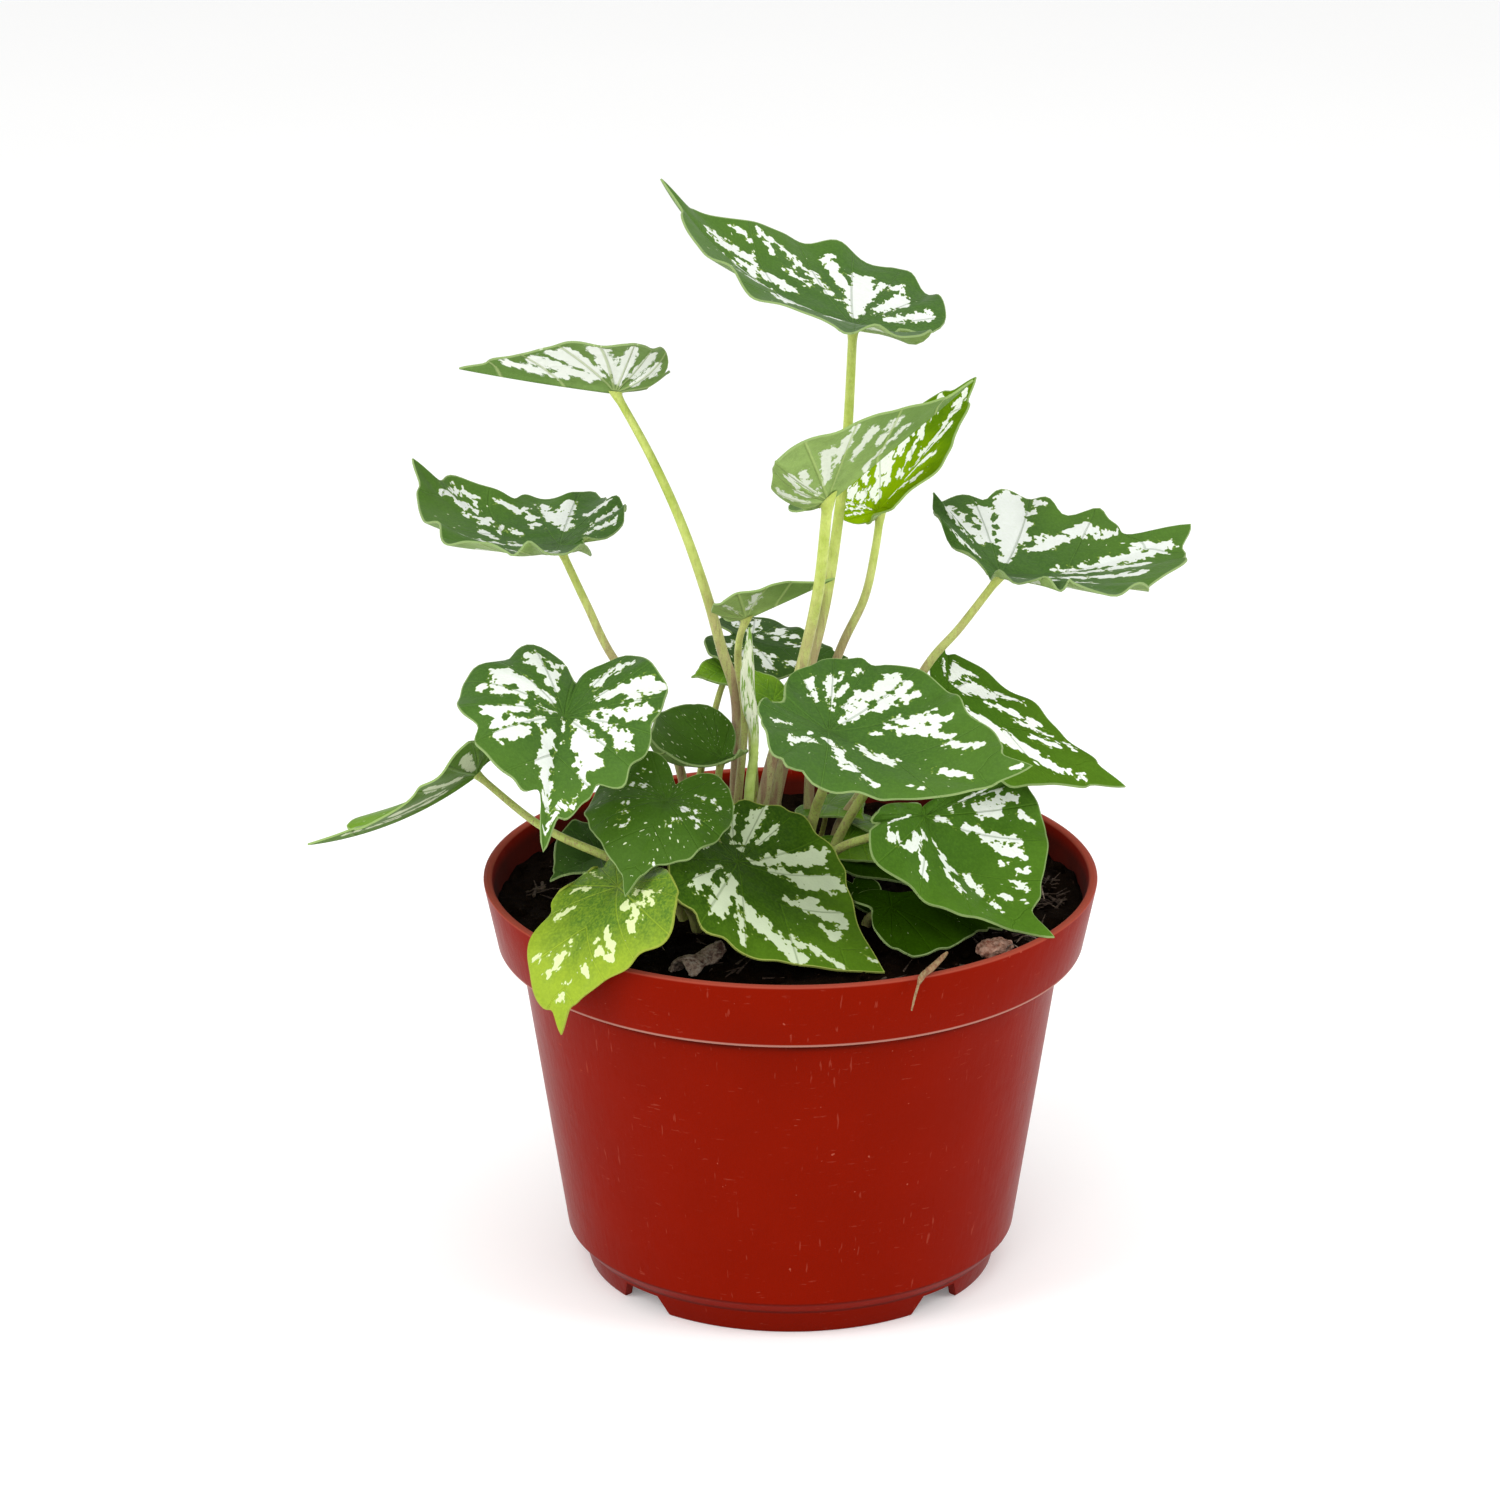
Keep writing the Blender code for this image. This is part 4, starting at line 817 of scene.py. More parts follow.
def blade_points(it, angle, reach):
    """Points of a blade's upper surface, reach running from 0 at the joint to 1."""
    radius = outline_radius(angle) * it.length * edge_share(it, angle, reach)
    turn = np.radians(angle)
    u = reach * radius * np.cos(turn)
    v = reach * radius * np.sin(turn)
    u = np.where(u < 0, u * it.lobe, u)
    left = v > 0
    v = v * np.where(left, *it.width)

    # across the blade: a fold at the midrib that goes on as a curl
    half = SIDE_SHARE * it.length
    fold = np.radians(np.where(left, *it.fold))
    curl = np.radians(np.where(left, *it.curl)) / half
    across, lift = arc(np.abs(v), fold, curl)
    height, number, phase = it.wave
    calm = np.clip((reach - BLADE_WAVES_START) / (1 - BLADE_WAVES_START), 0, 1)
    ripple = height * calm ** 2 * (0.85 * np.sin(np.radians(number * angle + phase))
                                   + 0.3 * np.sin(np.radians(1.63 * number * angle + 2.3 * phase)))
    across = np.sign(v) * across
    lift = lift + ripple

    # twist about the midrib, then bend along it
    twist = np.radians(it.twist) * np.clip(u / it.length, -1, 1)
    side = across * np.cos(twist) - lift * np.sin(twist)
    rise = across * np.sin(twist) + lift * np.cos(twist)
    bend = np.radians(np.where(u > 0, -it.bend, it.back)) / it.length
    run, drop = arc(u, 0.0, bend)
    run = run - rise * np.sin(bend * u)
    rise = drop + rise * np.cos(bend * u)

    along, sideways, up = blade_frame(it)
    return (np.array(it.joint) + run[..., None] * along + side[..., None] * sideways
            + rise[..., None] * up)


def vein_place(angle, reach):
    """Which vein a point lies on, in degrees, and how far along it, over the length.

    The side veins fan out from the joint; nearer the tip they leave the
    midrib one after another, halfway between across and along.
    """
    radius = outline_radius(angle) * reach
    u = radius * np.cos(np.radians(angle))
    v = np.abs(radius * np.sin(np.radians(angle)))
    past = u - v
    vein = np.where(past > 0, 45.0 - VEIN_RUN * past, np.abs(angle))
    along = np.where(past > 0, v * math.sqrt(2), radius)
    spread = np.where(past > 0, math.sqrt(0.5) / VEIN_RUN, np.maximum(radius, 0.02) * np.pi / 180)
    return vein, along, spread


def blotch_field(name, angle, reach):
    """How far inside a white blotch a point lies, over the length; below 0 outside."""
    radius = outline_radius(angle) * reach
    here = np.stack([radius * np.cos(np.radians(angle)), radius * np.sin(np.radians(angle))], -1)
    field = np.full(angle.shape, -0.2)
    for a0, r0, w0, a1, r1, w1 in BLOTCHES.get(name, ()):
        ends = []
        for a, r in ((a0, r0), (a1, r1)):
            far = float(outline_radius(np.array(float(a)))) * r
            turn = math.radians(a)
            ends.append(far * np.array((math.cos(turn), math.sin(turn))))
        run = ends[1] - ends[0]
        share = np.clip(((here - ends[0]) @ run) / max(run @ run, 1e-9), 0, 1)
        away = np.linalg.norm(here - ends[0] - share[..., None] * run, axis=-1)
        field = np.maximum(field, BLOTCH_SHARE * (w0 + (w1 - w0) * share) / 100 - away)
    return field


def steps_round(count):
    """Angles round the joint from -180 to 180, closer together near the tip and the notch."""
    even = np.linspace(-1, 1, count + 1)
    return 180 * (0.42 * even + 0.58 * np.sign(even) * np.abs(even) ** 1.9)


def build_blade(it, node=True):
    """A finely meshed blade whose mesh carries where its veins and blotches run."""
    fineness = 1 if it.length > SMALL_LEAF else 2
    directions, reaches = DIRECTIONS // fineness, REACHES // fineness
    deselect()
    bpy.ops.mesh.primitive_grid_add(x_subdivisions=directions, y_subdivisions=reaches, size=2.0)
    blade = bpy.context.object
    mesh = blade.data
    angle, reach = np.meshgrid(steps_round(directions), np.linspace(0, 1, reaches + 1) ** 0.85)
    points = blade_points(it, angle, reach) + np.array((POT_AXIS.x, POT_AXIS.y, 0)) / MM
    mesh.vertices.foreach_set("co", (points.reshape(-1, 3) * MM).ravel())

    vein, along, spread = vein_place(angle, reach)
    flat = np.stack([outline_radius(angle) * reach * np.cos(np.radians(angle)),
                     outline_radius(angle) * reach * np.sin(np.radians(angle))], -1)
    flat = flat * it.length / 10 + 0.7 * it.length       # in centimetres, apart from leaf to leaf
    loops = np.array([loop.vertex_index for loop in mesh.loops])
    for name, pair in (("flat", flat), ("vein", np.stack([vein / VEIN_STEP, along], -1))):
        layer = mesh.uv_layers.new(name=name)
        layer.data.foreach_set("uv", pair.reshape(-1, 2)[loops].astype(np.float32).ravel())
    mesh.uv_layers.remove(mesh.uv_layers[0])
    size = it.length
    values = {
        "blotch": blotch_field(it.name, angle, reach) * size,
        "reach": reach,
        "ahead": outline_radius(angle) * reach * np.cos(np.radians(angle)),
        "spread": spread * VEIN_STEP * size,
        "inset": outline_radius(angle) * (1 - reach) * size,
    }
    for name, value in values.items():
        layer = mesh.attributes.new(name, "FLOAT", "POINT")
        layer.data.foreach_set("value", value.astype(np.float32).ravel())

    # the main veins stand out underneath, thick at the joint and gone at the margin
    bulge = np.zeros(angle.shape)
    for line, strength in MAIN_VEINS:
        off = np.abs((angle - line + 180) % 360 - 180)
        away = np.radians(off) * outline_radius(angle) * reach * size
        bulge = np.maximum(bulge, strength * np.exp(-(away / RIB_WIDTH) ** 2) * (1 - reach) ** 0.8)
    middle = np.exp(-(outline_radius(angle) * reach * size / RIB_MIDDLE) ** 2)
    bulge = np.maximum(bulge, middle)
    group = blade.vertex_groups.new(name="thickness")
    thick = (BLADE + RIB * bulge * min(1.0, size / 40)) / (BLADE + RIB)
    for number, share in enumerate(thick.ravel()):
        group.add([number], float(share), "REPLACE")

    pick(blade)
    bpy.ops.object.mode_set(mode="EDIT")
    bpy.ops.mesh.select_all(action="SELECT")
    bpy.ops.mesh.remove_doubles(threshold=1e-6)
    bpy.ops.mesh.dissolve_degenerate(threshold=1e-7)
    bpy.ops.mesh.select_all(action="SELECT")
    bpy.ops.mesh.normals_make_consistent(inside=False)
    bpy.ops.object.mode_set(mode="OBJECT")
    up = Vector(blade_frame(it)[2])
    turned = sum(face.normal.dot(up) * face.area for face in mesh.polygons
                 if (face.center - Vector(points[0, 0] * MM)).length < 0.3 * size * MM)
    if turned < 0:
        mesh.flip_normals()
    for material in LEAF_SKINS[it.kind]:
        mesh.materials.append(material)
    apply(blade, "SOLIDIFY", thickness=(BLADE + RIB) * MM, offset=-1.0, vertex_group="thickness",
          thickness_vertex_group=0.0, material_offset=1, material_offset_rim=0)
    settle(blade, f"leaf_{it.name}_green_blade", None)
    bpy.ops.object.shade_smooth_by_angle(angle=math.radians(50))
    if node:
        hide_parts(f"leaf_{it.name}_blade")
    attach(blade, "root")
    return blade


def upper_skin(name, middle, margin, white=(0.70, 0.73, 0.69), flecks=0.5, shine=0.10,
               edging=(0.30, 0.40, 0.16)):
    """The upper side: green, whiter blotches, fine flecks, sunken veins, a pale margin."""
    skin = Skin(name, IOR=1.42, Specular_IOR_Level=shine)
    place = skin.place()
    vein = skin.node("UVMap", {"uv_map": "vein"})
    flat = skin.node("UVMap", {"uv_map": "flat"})
    blotch, reach = skin.number("blotch"), skin.number("reach")
    spread, inset = skin.number("spread"), skin.number("inset")
    ahead = skin.number("ahead")
    which = skin.node("SeparateXYZ", None, vein, out="X")

    # a blotch breaks up into teeth along the veins and into small clouds
    teeth = skin.noise(skin.stretched(vein, 9.0, 12.0, 1.0), 1.0, 2.0, 0.6)
    clouds = skin.noise(flat, 4.0, 2.0, 0.55)
    mottle = skin.noise(place, 260.0, 4.0, 0.6)
    fine = skin.noise(place, 1500.0, 2.0, 0.6)
    line = which.wrapped() * spread
    side_vein = line.between(0.35, 0.08)
    field = blotch + (teeth - 0.5) * 2.2 + (clouds - 0.5) * 7.5
    inside = field.between(0.02, 0.20)
    rim = field.between(-0.34, 0.02) * (1.0 - inside)
    coarse = 1.0 if flecks < 1 else 0.65
    speck = skin.noise(skin.stretched(vein, 17.0 * coarse, 24.0 * coarse, 1.0), 1.0, 1.0, 0.4)
    speck = speck.between(0.79 - 0.05 * flecks, 0.81 - 0.05 * flecks)
    speck = speck * reach.between(0.12, 0.25) * reach.between(0.97, 0.88)
    pale = inside * (1.0 - side_vein * 0.35)

    paler = (reach * 0.45 + ahead * 0.75).between(0.30, 0.95) + (mottle - 0.5) * 0.9
    leafy = skin.mix(paler, middle, margin)
    leafy = skin.mix(reach.between(0.22, 0.02) * 0.5, leafy, tuple(c * 0.55 for c in middle))
    leafy = skin.mix(fine.between(0.35, 0.7) * 0.25, leafy, tuple(c * 1.5 for c in margin))
    leafy = skin.mix(side_vein * 0.35, leafy, tuple(c * 1.35 for c in margin))
    colour = skin.mix(rim * 0.6, leafy, (0.25, 0.36, 0.05))
    whites = skin.mix(fine.between(0.4, 0.8) * 0.25, white, (0.54, 0.62, 0.46))
    colour = skin.mix(speck, colour, (0.58, 0.65, 0.42))
    colour = skin.mix(pale, colour, whites)
    edge = inset.between(0.42, 0.12)
    colour = skin.mix(edge * 0.65, colour, edging)
    groove = side_vein * -1.0
    quilt = skin.noise(place, 95.0, 2.0, 0.5)
    return skin.finish(colour, 0.42 + (mottle - 0.5) * 0.15,
                       ((quilt, 0.0016), (groove, 0.00016), (fine, 0.00008)))


def under_skin(name, green, vein_green, white=(0.68, 0.72, 0.60), tip=0.6):
    """The underside: matt and paler, the blotches showing through it greyish."""
    skin = Skin(name, IOR=1.40, Specular_IOR_Level=0.2)
    place = skin.place()
    vein = skin.node("UVMap", {"uv_map": "vein"})
    blotch, ahead = skin.number("blotch"), skin.number("ahead")
    spread, inset = skin.number("spread"), skin.number("inset")
    which = skin.node("SeparateXYZ", None, vein, out="X")
    teeth = skin.noise(skin.stretched(vein, 7.0, 9.0, 1.0), 1.0, 3.0, 0.65)
    mottle = skin.noise(place, 300.0, 4.0, 0.6)
    fine = skin.noise(place, 1700.0, 2.0, 0.6)
    line = which.wrapped() * spread
    side_vein = line.between(0.55, 0.10)
    clouds = skin.noise(skin.node("UVMap", {"uv_map": "flat"}), 3.6, 3.0, 0.6)
    inside = (blotch + (teeth - 0.5) * 3.0 + (clouds - 0.5) * 5.0).between(-0.25, 0.35)
    leafy = skin.mix(mottle.between(0.3, 0.7) * 0.6, green, tuple(c * 0.72 for c in green))
    leafy = skin.mix(fine.between(0.4, 0.75) * 0.2, leafy, tuple(c * 1.4 for c in green))
    leafy = skin.mix(ahead.between(0.12, 0.62) * tip, leafy, (0.085, 0.18, 0.030))
    leafy = skin.mix(inside * 0.95, leafy, white)
    leafy = skin.mix(side_vein * 0.6, leafy, vein_green)
    colour = skin.mix(inset.between(0.42, 0.12) * 0.6, leafy, (0.34, 0.44, 0.18))
    return skin.finish(colour, 0.56, ((side_vein, 0.00025), (mottle, 0.0004), (fine, 0.00008)))


plain_under = under_skin("leaf_under", (0.25, 0.37, 0.10), (0.38, 0.50, 0.16))
sheer_under = under_skin("leaf_sheer_under", (0.17, 0.28, 0.07), (0.40, 0.50, 0.20),
                         (0.90, 0.92, 0.86))
dull_under = under_skin("leaf_dull_under", (0.10, 0.21, 0.028), (0.15, 0.27, 0.05),
                        (0.60, 0.68, 0.45), tip=0.3)
green_upper = upper_skin("leaf_green", (0.045, 0.108, 0.017), (0.064, 0.142, 0.018))
fresh_upper = upper_skin("leaf_fresh", (0.070, 0.165, 0.010), (0.13, 0.26, 0.012))
LEAF_SKINS = {
    "green": (green_upper, plain_under),
    "sheer": (green_upper, sheer_under),
    "fresh": (fresh_upper, plain_under),
    "hanging": (fresh_upper, dull_under),
    "yellow": (upper_skin("leaf_yellow", (0.065, 0.145, 0.014), (0.25, 0.35, 0.022),
                          white=(0.60, 0.67, 0.34), edging=(0.30, 0.34, 0.05)), plain_under),
    # Painted light: a glowing yellow-green and whiter blotches stand in for light shining through
    # this leaf from behind.
    "backlit": (upper_skin("leaf_bright", (0.24, 0.40, 0.002), (0.095, 0.20, 0.004),
                          white=(0.86, 0.90, 0.80), shine=0.0), plain_under),
    # Painted light: whiter blotches stand in for light on a leaf that lies in another's shadow.
    "side": (upper_skin("leaf_side", (0.058, 0.142, 0.012), (0.074, 0.160, 0.012),
                        white=(0.93, 0.95, 0.92), shine=0.0), plain_under),
    # Painted light: whiter blotches stand in for light on a leaf that faces down.
    "low": (upper_skin("leaf_low", (0.052, 0.130, 0.012), (0.072, 0.165, 0.014),
                       white=(0.84, 0.88, 0.82), shine=0.03), plain_under),
    "dotted": (upper_skin("leaf_dotted", (0.042, 0.105, 0.007), (0.048, 0.110, 0.010),
                          flecks=1.7), plain_under),
    "shaded": (upper_skin("leaf_shaded", (0.026, 0.068, 0.004), (0.070, 0.150, 0.008),
                          white=(0.58, 0.66, 0.46), shine=0.05, edging=(0.45, 0.50, 0.12)),
               plain_under),
    # Painted shade: a darker copy of the green for leaves that lie in shade.
    "dark": (upper_skin("leaf_dark", (0.030, 0.070, 0.012), (0.040, 0.090, 0.014), shine=0.06),
             plain_under),
    # Painted shade: a much darker copy of the green for leaves in deep shade.
    "deep": (upper_skin("leaf_deep", (0.013, 0.038, 0.0008), (0.017, 0.048, 0.001), flecks=0.0,
                        shine=0.0), plain_under),
}
for it in LEAVES:
    build_blade(it)


# Stalks. Round and juicy, yellow-green above and beige to pinkish brown with
# fine stripes below; each stands in the soil in a short sheath and widens
# like a funnel where it meets its blade.
STALK_SIDES = 16
STALK_STEP = 1.6
STEM_DEPTH = 9.0
SEAT = 0.45               # how far under the blade's upper side a stalk ends
TALL_FROM = 140           # leaves held higher than this have pinkish stalks below
TALL_RANGE = 35
STALK_GREEN_FROM = 174
STALK_DULL_BELOW = 120
SHEATH_TOP = 104
SHEATH_FOOT = 90
SHEATH_SWELL, SHEATH_RUN = 0.22, 14.0
FUNNEL_SWELL, FUNNEL_RUN = 0.55, 1.6


def smooth_route(points, step):
    """Even points on a smooth curve through the given ones."""
    p = [np.array(q, float) for q in points]
    p = [2 * p[0] - p[1]] + p + [2 * p[-1] - p[-2]]
    route = []
    for a, b, c, d in zip(p, p[1:], p[2:], p[3:]):
        pieces = max(1, round(float(np.linalg.norm(c - b)) / step))
        for i in range(pieces):
            t = i / pieces
            route.append(0.5 * (2 * b + (c - a) * t + (2 * a - 5 * b + 4 * c - d) * t * t
                                + (3 * b - a - 3 * c + d) * t ** 3))
    route.append(p[-2])
    return route


def stem_feet(base, above):
    """Where a stem leaves the soil and its foot below, in line with its first stretch."""
    top = np.array((base[0], base[1], soil_surface(*base)))
    lean = (np.array(above, float) - top) / 3.0
    under = top - np.array((lean[0], lean[1], 0.0)) * (STEM_DEPTH / max(lean[2], 8.0))
    under[2] = top[2] - STEM_DEPTH
    return top, under


def build_tube(name, route, radii, material, end_plane=None, sides=STALK_SIDES, roll=0.0):
    """A closed round stem along a route; roll makes it a scroll with one edge standing out."""
    count = len(route)
    deselect()
    bpy.ops.mesh.primitive_grid_add(x_subdivisions=sides, y_subdivisions=count - 1, size=2.0)
    stem = bpy.context.object
    tangents = [route[min(i + 1, count - 1)] - route[max(i - 1, 0)] for i in range(count)]
    tangents = [t / np.linalg.norm(t) for t in tangents]
    across = np.cross(tangents[0], (0.0, 1.0, 0.0))
    points = []
    for i, (centre, radius) in enumerate(zip(route, radii)):
        across = across - tangents[i] * across.dot(tangents[i])
        across /= np.linalg.norm(across)
        other = np.cross(tangents[i], across)
        for k in range(sides + 1):
            a = 2 * math.pi * (k % sides) / sides
            out = radius * (1 + roll * ((k % sides / sides + i / count) % 1.0 - 0.5))
            point = centre + out * (math.cos(a) * across + math.sin(a) * other)
            if end_plane is not None and i > count - 4:
                origin, normal = end_plane
                over = (point - origin).dot(normal) / tangents[i].dot(normal)
                if i == count - 1 or over > 0:
                    point = point - tangents[i] * over
            points.append(point)
    points = np.array(points) + np.array((POT_AXIS.x, POT_AXIS.y, 0)) / MM
    mesh = stem.data
    mesh.vertices.foreach_set("co", (points * MM).ravel())
    layer = mesh.attributes.new("up", "FLOAT", "POINT")
    share = np.repeat(np.linspace(0, 1, count), sides + 1)
    layer.data.foreach_set("value", share.astype(np.float32))
    uv = mesh.uv_layers[0]
    uv.name = "round"
    pick(stem)
    bpy.ops.object.mode_set(mode="EDIT")
    bpy.ops.mesh.select_all(action="SELECT")
    bpy.ops.mesh.remove_doubles(threshold=1e-6)
    bpy.ops.mesh.select_all(action="DESELECT")
    bpy.ops.mesh.select_mode(type="EDGE")
    bpy.ops.mesh.select_non_manifold()
    bpy.ops.mesh.edge_face_add()
    bpy.ops.mesh.select_all(action="SELECT")
    bpy.ops.mesh.normals_make_consistent(inside=False)
    bpy.ops.object.mode_set(mode="OBJECT")
    settle(stem, name, material)
    bpy.ops.object.shade_smooth_by_angle(angle=math.radians(50))
    return stem


stem_skin = Skin("stalk", IOR=1.42, Specular_IOR_Level=0.3)
place = stem_skin.place()
up = stem_skin.number("up")
mottle = stem_skin.noise(place, 240.0, 3.0, 0.6)
stripes = stem_skin.noise(stem_skin.stretched(place, 1.0, 1.0, 0.12), 2600.0, 2.0, 0.6)
fine = stem_skin.noise(place, 2200.0, 2.0, 0.6)
height = stem_skin.node("SeparateXYZ", None, place, out="Z")
lower = height.between(STALK_GREEN_FROM * MM, STALK_DULL_BELOW * MM)
tall = stem_skin.number("tall")
stipple = stem_skin.noise(place, 4200.0, 1.0, 0.5)
band = stem_skin.noise(stem_skin.stretched(place, 1.0, 1.0, 0.05), 500.0, 1.0, 0.5)
colour = stem_skin.mix(mottle.between(0.3, 0.7), (0.42, 0.52, 0.085), (0.57, 0.65, 0.17))
colour = stem_skin.mix(lower * 0.4, colour, (0.30, 0.40, 0.11))
colour = stem_skin.mix(lower * tall * 0.55, colour, (0.46, 0.35, 0.25))
colour = stem_skin.mix(band.between(0.44, 0.54) * lower * (0.15 + tall * 0.55), colour,
                       (0.33, 0.18, 0.13))
sheath = height.between(SHEATH_TOP * MM, SHEATH_FOOT * MM)
colour = stem_skin.mix(sheath * 0.2, colour, (0.34, 0.22, 0.15))
colour = stem_skin.mix(stripes.between(0.56, 0.68) * (0.2 + lower * 0.4), colour,
                       (0.20, 0.12, 0.07))
colour = stem_skin.mix(stipple.between(0.57, 0.65) * (0.12 + lower * 0.5), colour,
                       (0.30, 0.12, 0.10))
colour = stem_skin.mix(fine.between(0.6, 0.75) * 0.25, colour, (0.58, 0.62, 0.36))
stem_finish = stem_skin.finish(colour, 0.42, ((stripes, 0.00012), (mottle, 0.0003)))


def build_stalk(it, node=True):
    """The stalk of one leaf, from its foot in the soil to the seat under its blade."""
    _, _, up_side = blade_frame(it)
    seat = np.array(it.joint) - up_side * SEAT
    top, under = stem_feet(it.base, it.route[-1])
    route = smooth_route([under, top] + list(reversed(it.route)) + [seat], STALK_STEP)
    low, high = it.stalk
    share = np.linspace(0, 1, len(route))
    length = np.cumsum([0.0] + [float(np.linalg.norm(b - a)) for a, b in zip(route, route[1:])])
    left = length[-1] - length
    radii = low + (high - low) * share
    radii = radii * (1 + SHEATH_SWELL * np.exp(-(length / SHEATH_RUN) ** 2)
                     + FUNNEL_SWELL * np.exp(-(left / FUNNEL_RUN) ** 2))
    stalk = build_tube(f"leaf_{it.name}_green_stalk", route, radii, stem_finish, (seat, up_side))
    tall = min(1.0, max(0.0, (it.joint[2] - TALL_FROM) / TALL_RANGE))
    layer = stalk.data.attributes.new("tall", "FLOAT", "POINT")
    layer.data.foreach_set("value", [tall] * len(stalk.data.vertices))
    if node:
        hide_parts(f"leaf_{it.name}_stalk")
    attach(stalk, "root")


for it in LEAVES:
    build_stalk(it)


# Young leaf and sprouts. One new leaf is still rolled like a scroll round its
# midrib, pale with white streaks; five little sprouts open low between the
# stalks.
YOUNG_BASE = (-11, -6)
YOUNG_ROUTE = ((-9.4, -6.5, 115.5), (-7.9, -5.5, 127.5), (-9.4, -4, 138), (-9.3, -4, 147),
               (-9.1, -4, 153.5))
YOUNG_WIDTH = ((0, 1.2), (0.55, 1.0), (0.66, 0.95), (0.74, 1.7), (0.86, 1.5), (1, 0.35))

top, under = stem_feet(YOUNG_BASE, YOUNG_ROUTE[0])
route = smooth_route([under, top] + list(YOUNG_ROUTE), 0.8)
radii = np.interp(np.linspace(0, 1, len(route)), *zip(*YOUNG_WIDTH))
rolled = Skin("young_leaf", IOR=1.42, Specular_IOR_Level=0.3)
place = rolled.place()
up = rolled.number("up")
streaks = rolled.noise(rolled.stretched(place, 1.0, 1.0, 0.14), 1500.0, 3.0, 0.6)
mottle = rolled.noise(place, 400.0, 3.0, 0.6)
blade_part = up.between(0.62, 0.72)
colour = rolled.mix(mottle.between(0.3, 0.7), (0.34, 0.46, 0.09), (0.46, 0.58, 0.16))
furled = rolled.mix(streaks.between(0.40, 0.50), (0.16, 0.30, 0.03), (0.64, 0.68, 0.50))
colour = rolled.mix(blade_part, colour, furled)
young = build_tube("young_leaf_furled", route, radii, rolled.finish(
    colour, 0.45, ((streaks, 0.0002), (mottle, 0.0003))), sides=36, roll=0.5)
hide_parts("young_leaf_rolled")
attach(young, "root")

SPROUT_WAVE = (0.1, 6, 0)
SPROUTS = (
    leaf("sprout_1", (8.5, 18, 103), -50, 10, 5, 13, (6, 25), (0.8, 0.5), ((7.5, 21, 96),),
         wave=SPROUT_WAVE, kind="hanging"),
    leaf("sprout_2", (13, 9, 98), -35, -5, 10, 14, (16, 15), (0.8, 0.55), ((14.5, 12.5, 93),),
         wave=SPROUT_WAVE, kind="hanging"),
    leaf("sprout_3", (20.5, 17, 99), -80, 5, -10, 12, (20, 22), (0.7, 0.5), ((20.3, 20, 94),),
         wave=SPROUT_WAVE, kind="hanging"),
    leaf("sprout_4", (16, 1.5, 95), -15, -10, 0, 12, (18, 7), (0.8, 0.5), ((17, 4.5, 91.5),),
         wave=SPROUT_WAVE, kind="deep"),
    leaf("sprout_5", (14.8, -9, 93), -60, -20, 0, 9, (13, -3), (0.7, 0.5), ((14, -6, 91),),
         wave=SPROUT_WAVE, kind="deep"),
)
for it in SPROUTS:
    build_blade(it, node=False)
    build_stalk(it, node=False)


# Loose bits on the soil. A curled chip of grey bark, a crumbly tan one, a dry
# twig hanging over the rim, splinters of bark and fine dead roots.
TWIG_POINTS = ((34.4, -53.0, 94.9), (33.5, -55.0, 94.7), (31.0, -61.0, 94.6), (28.6, -65.3, 94.3),
               (27.2, -67.5, 91.0), (26.4, -67.6, 87.2))
TWIG_RADII = ((0, 0.35), (0.1, 0.6), (0.5, 0.75), (0.66, 0.7), (0.72, 0.3), (1, 0.2))
CHIP_PLACE = (-21.0, -44.5)
CHIP_HEADING = 50
CHIP_LENGTH = 10.5
LUMP_PLACE = (45.5, -34.0)
SPLINTER_HEAPS = (((57, 2), 8, 60), ((53, -22), 6, 26), ((-54, 3), 5, 16), ((-50, 14), 4, 8),
                  ((0, 0), 60, 90))

bark = Skin("bark", Specular_IOR_Level=0.15)
place = bark.place()
fibres = bark.noise(bark.stretched(place, 0.25, 1.0, 1.0), 1600.0, 3.0, 0.65)
mottle = bark.noise(place, 500.0, 3.0, 0.6)
colour = bark.mix(mottle.between(0.3, 0.7), (0.022, 0.013, 0.009), (0.075, 0.050, 0.036))
colour = bark.mix(fibres.between(0.52, 0.70) * 0.7, colour, (0.16, 0.12, 0.09))
bark_finish = bark.finish(colour, 0.85, ((fibres, 0.0005), (mottle, 0.0006)))
pale_bark = Skin("bark_pale", Specular_IOR_Level=0.1)
place = pale_bark.place()
fibres = pale_bark.noise(pale_bark.stretched(place, 0.35, 1.0, 1.0), 1500.0, 3.0, 0.65)
mottle = pale_bark.noise(place, 600.0, 4.0, 0.65)
colour = pale_bark.mix(mottle.between(0.35, 0.62), (0.085, 0.045, 0.032), (0.33, 0.25, 0.19))
colour = pale_bark.mix(fibres.between(0.5, 0.62) * 0.6, colour, (0.44, 0.38, 0.31))
pale_finish = pale_bark.finish(colour, 0.88, ((fibres, 0.0005), (mottle, 0.0008)))
straw = Skin("dry_straw", Specular_IOR_Level=0.2)
place = straw.place()
fibres = straw.noise(straw.stretched(place, 1.0, 0.2, 1.0), 2400.0, 2.0, 0.6)
mottle = straw.noise(place, 600.0, 3.0, 0.6)
colour = straw.mix(mottle.between(0.3, 0.7), (0.16, 0.075, 0.035), (0.30, 0.17, 0.085))
colour = straw.mix(fibres.between(0.5, 0.6) * 0.6, colour, (0.27, 0.24, 0.12))
straw_finish = straw.finish(colour, 0.75, ((fibres, 0.0002),))

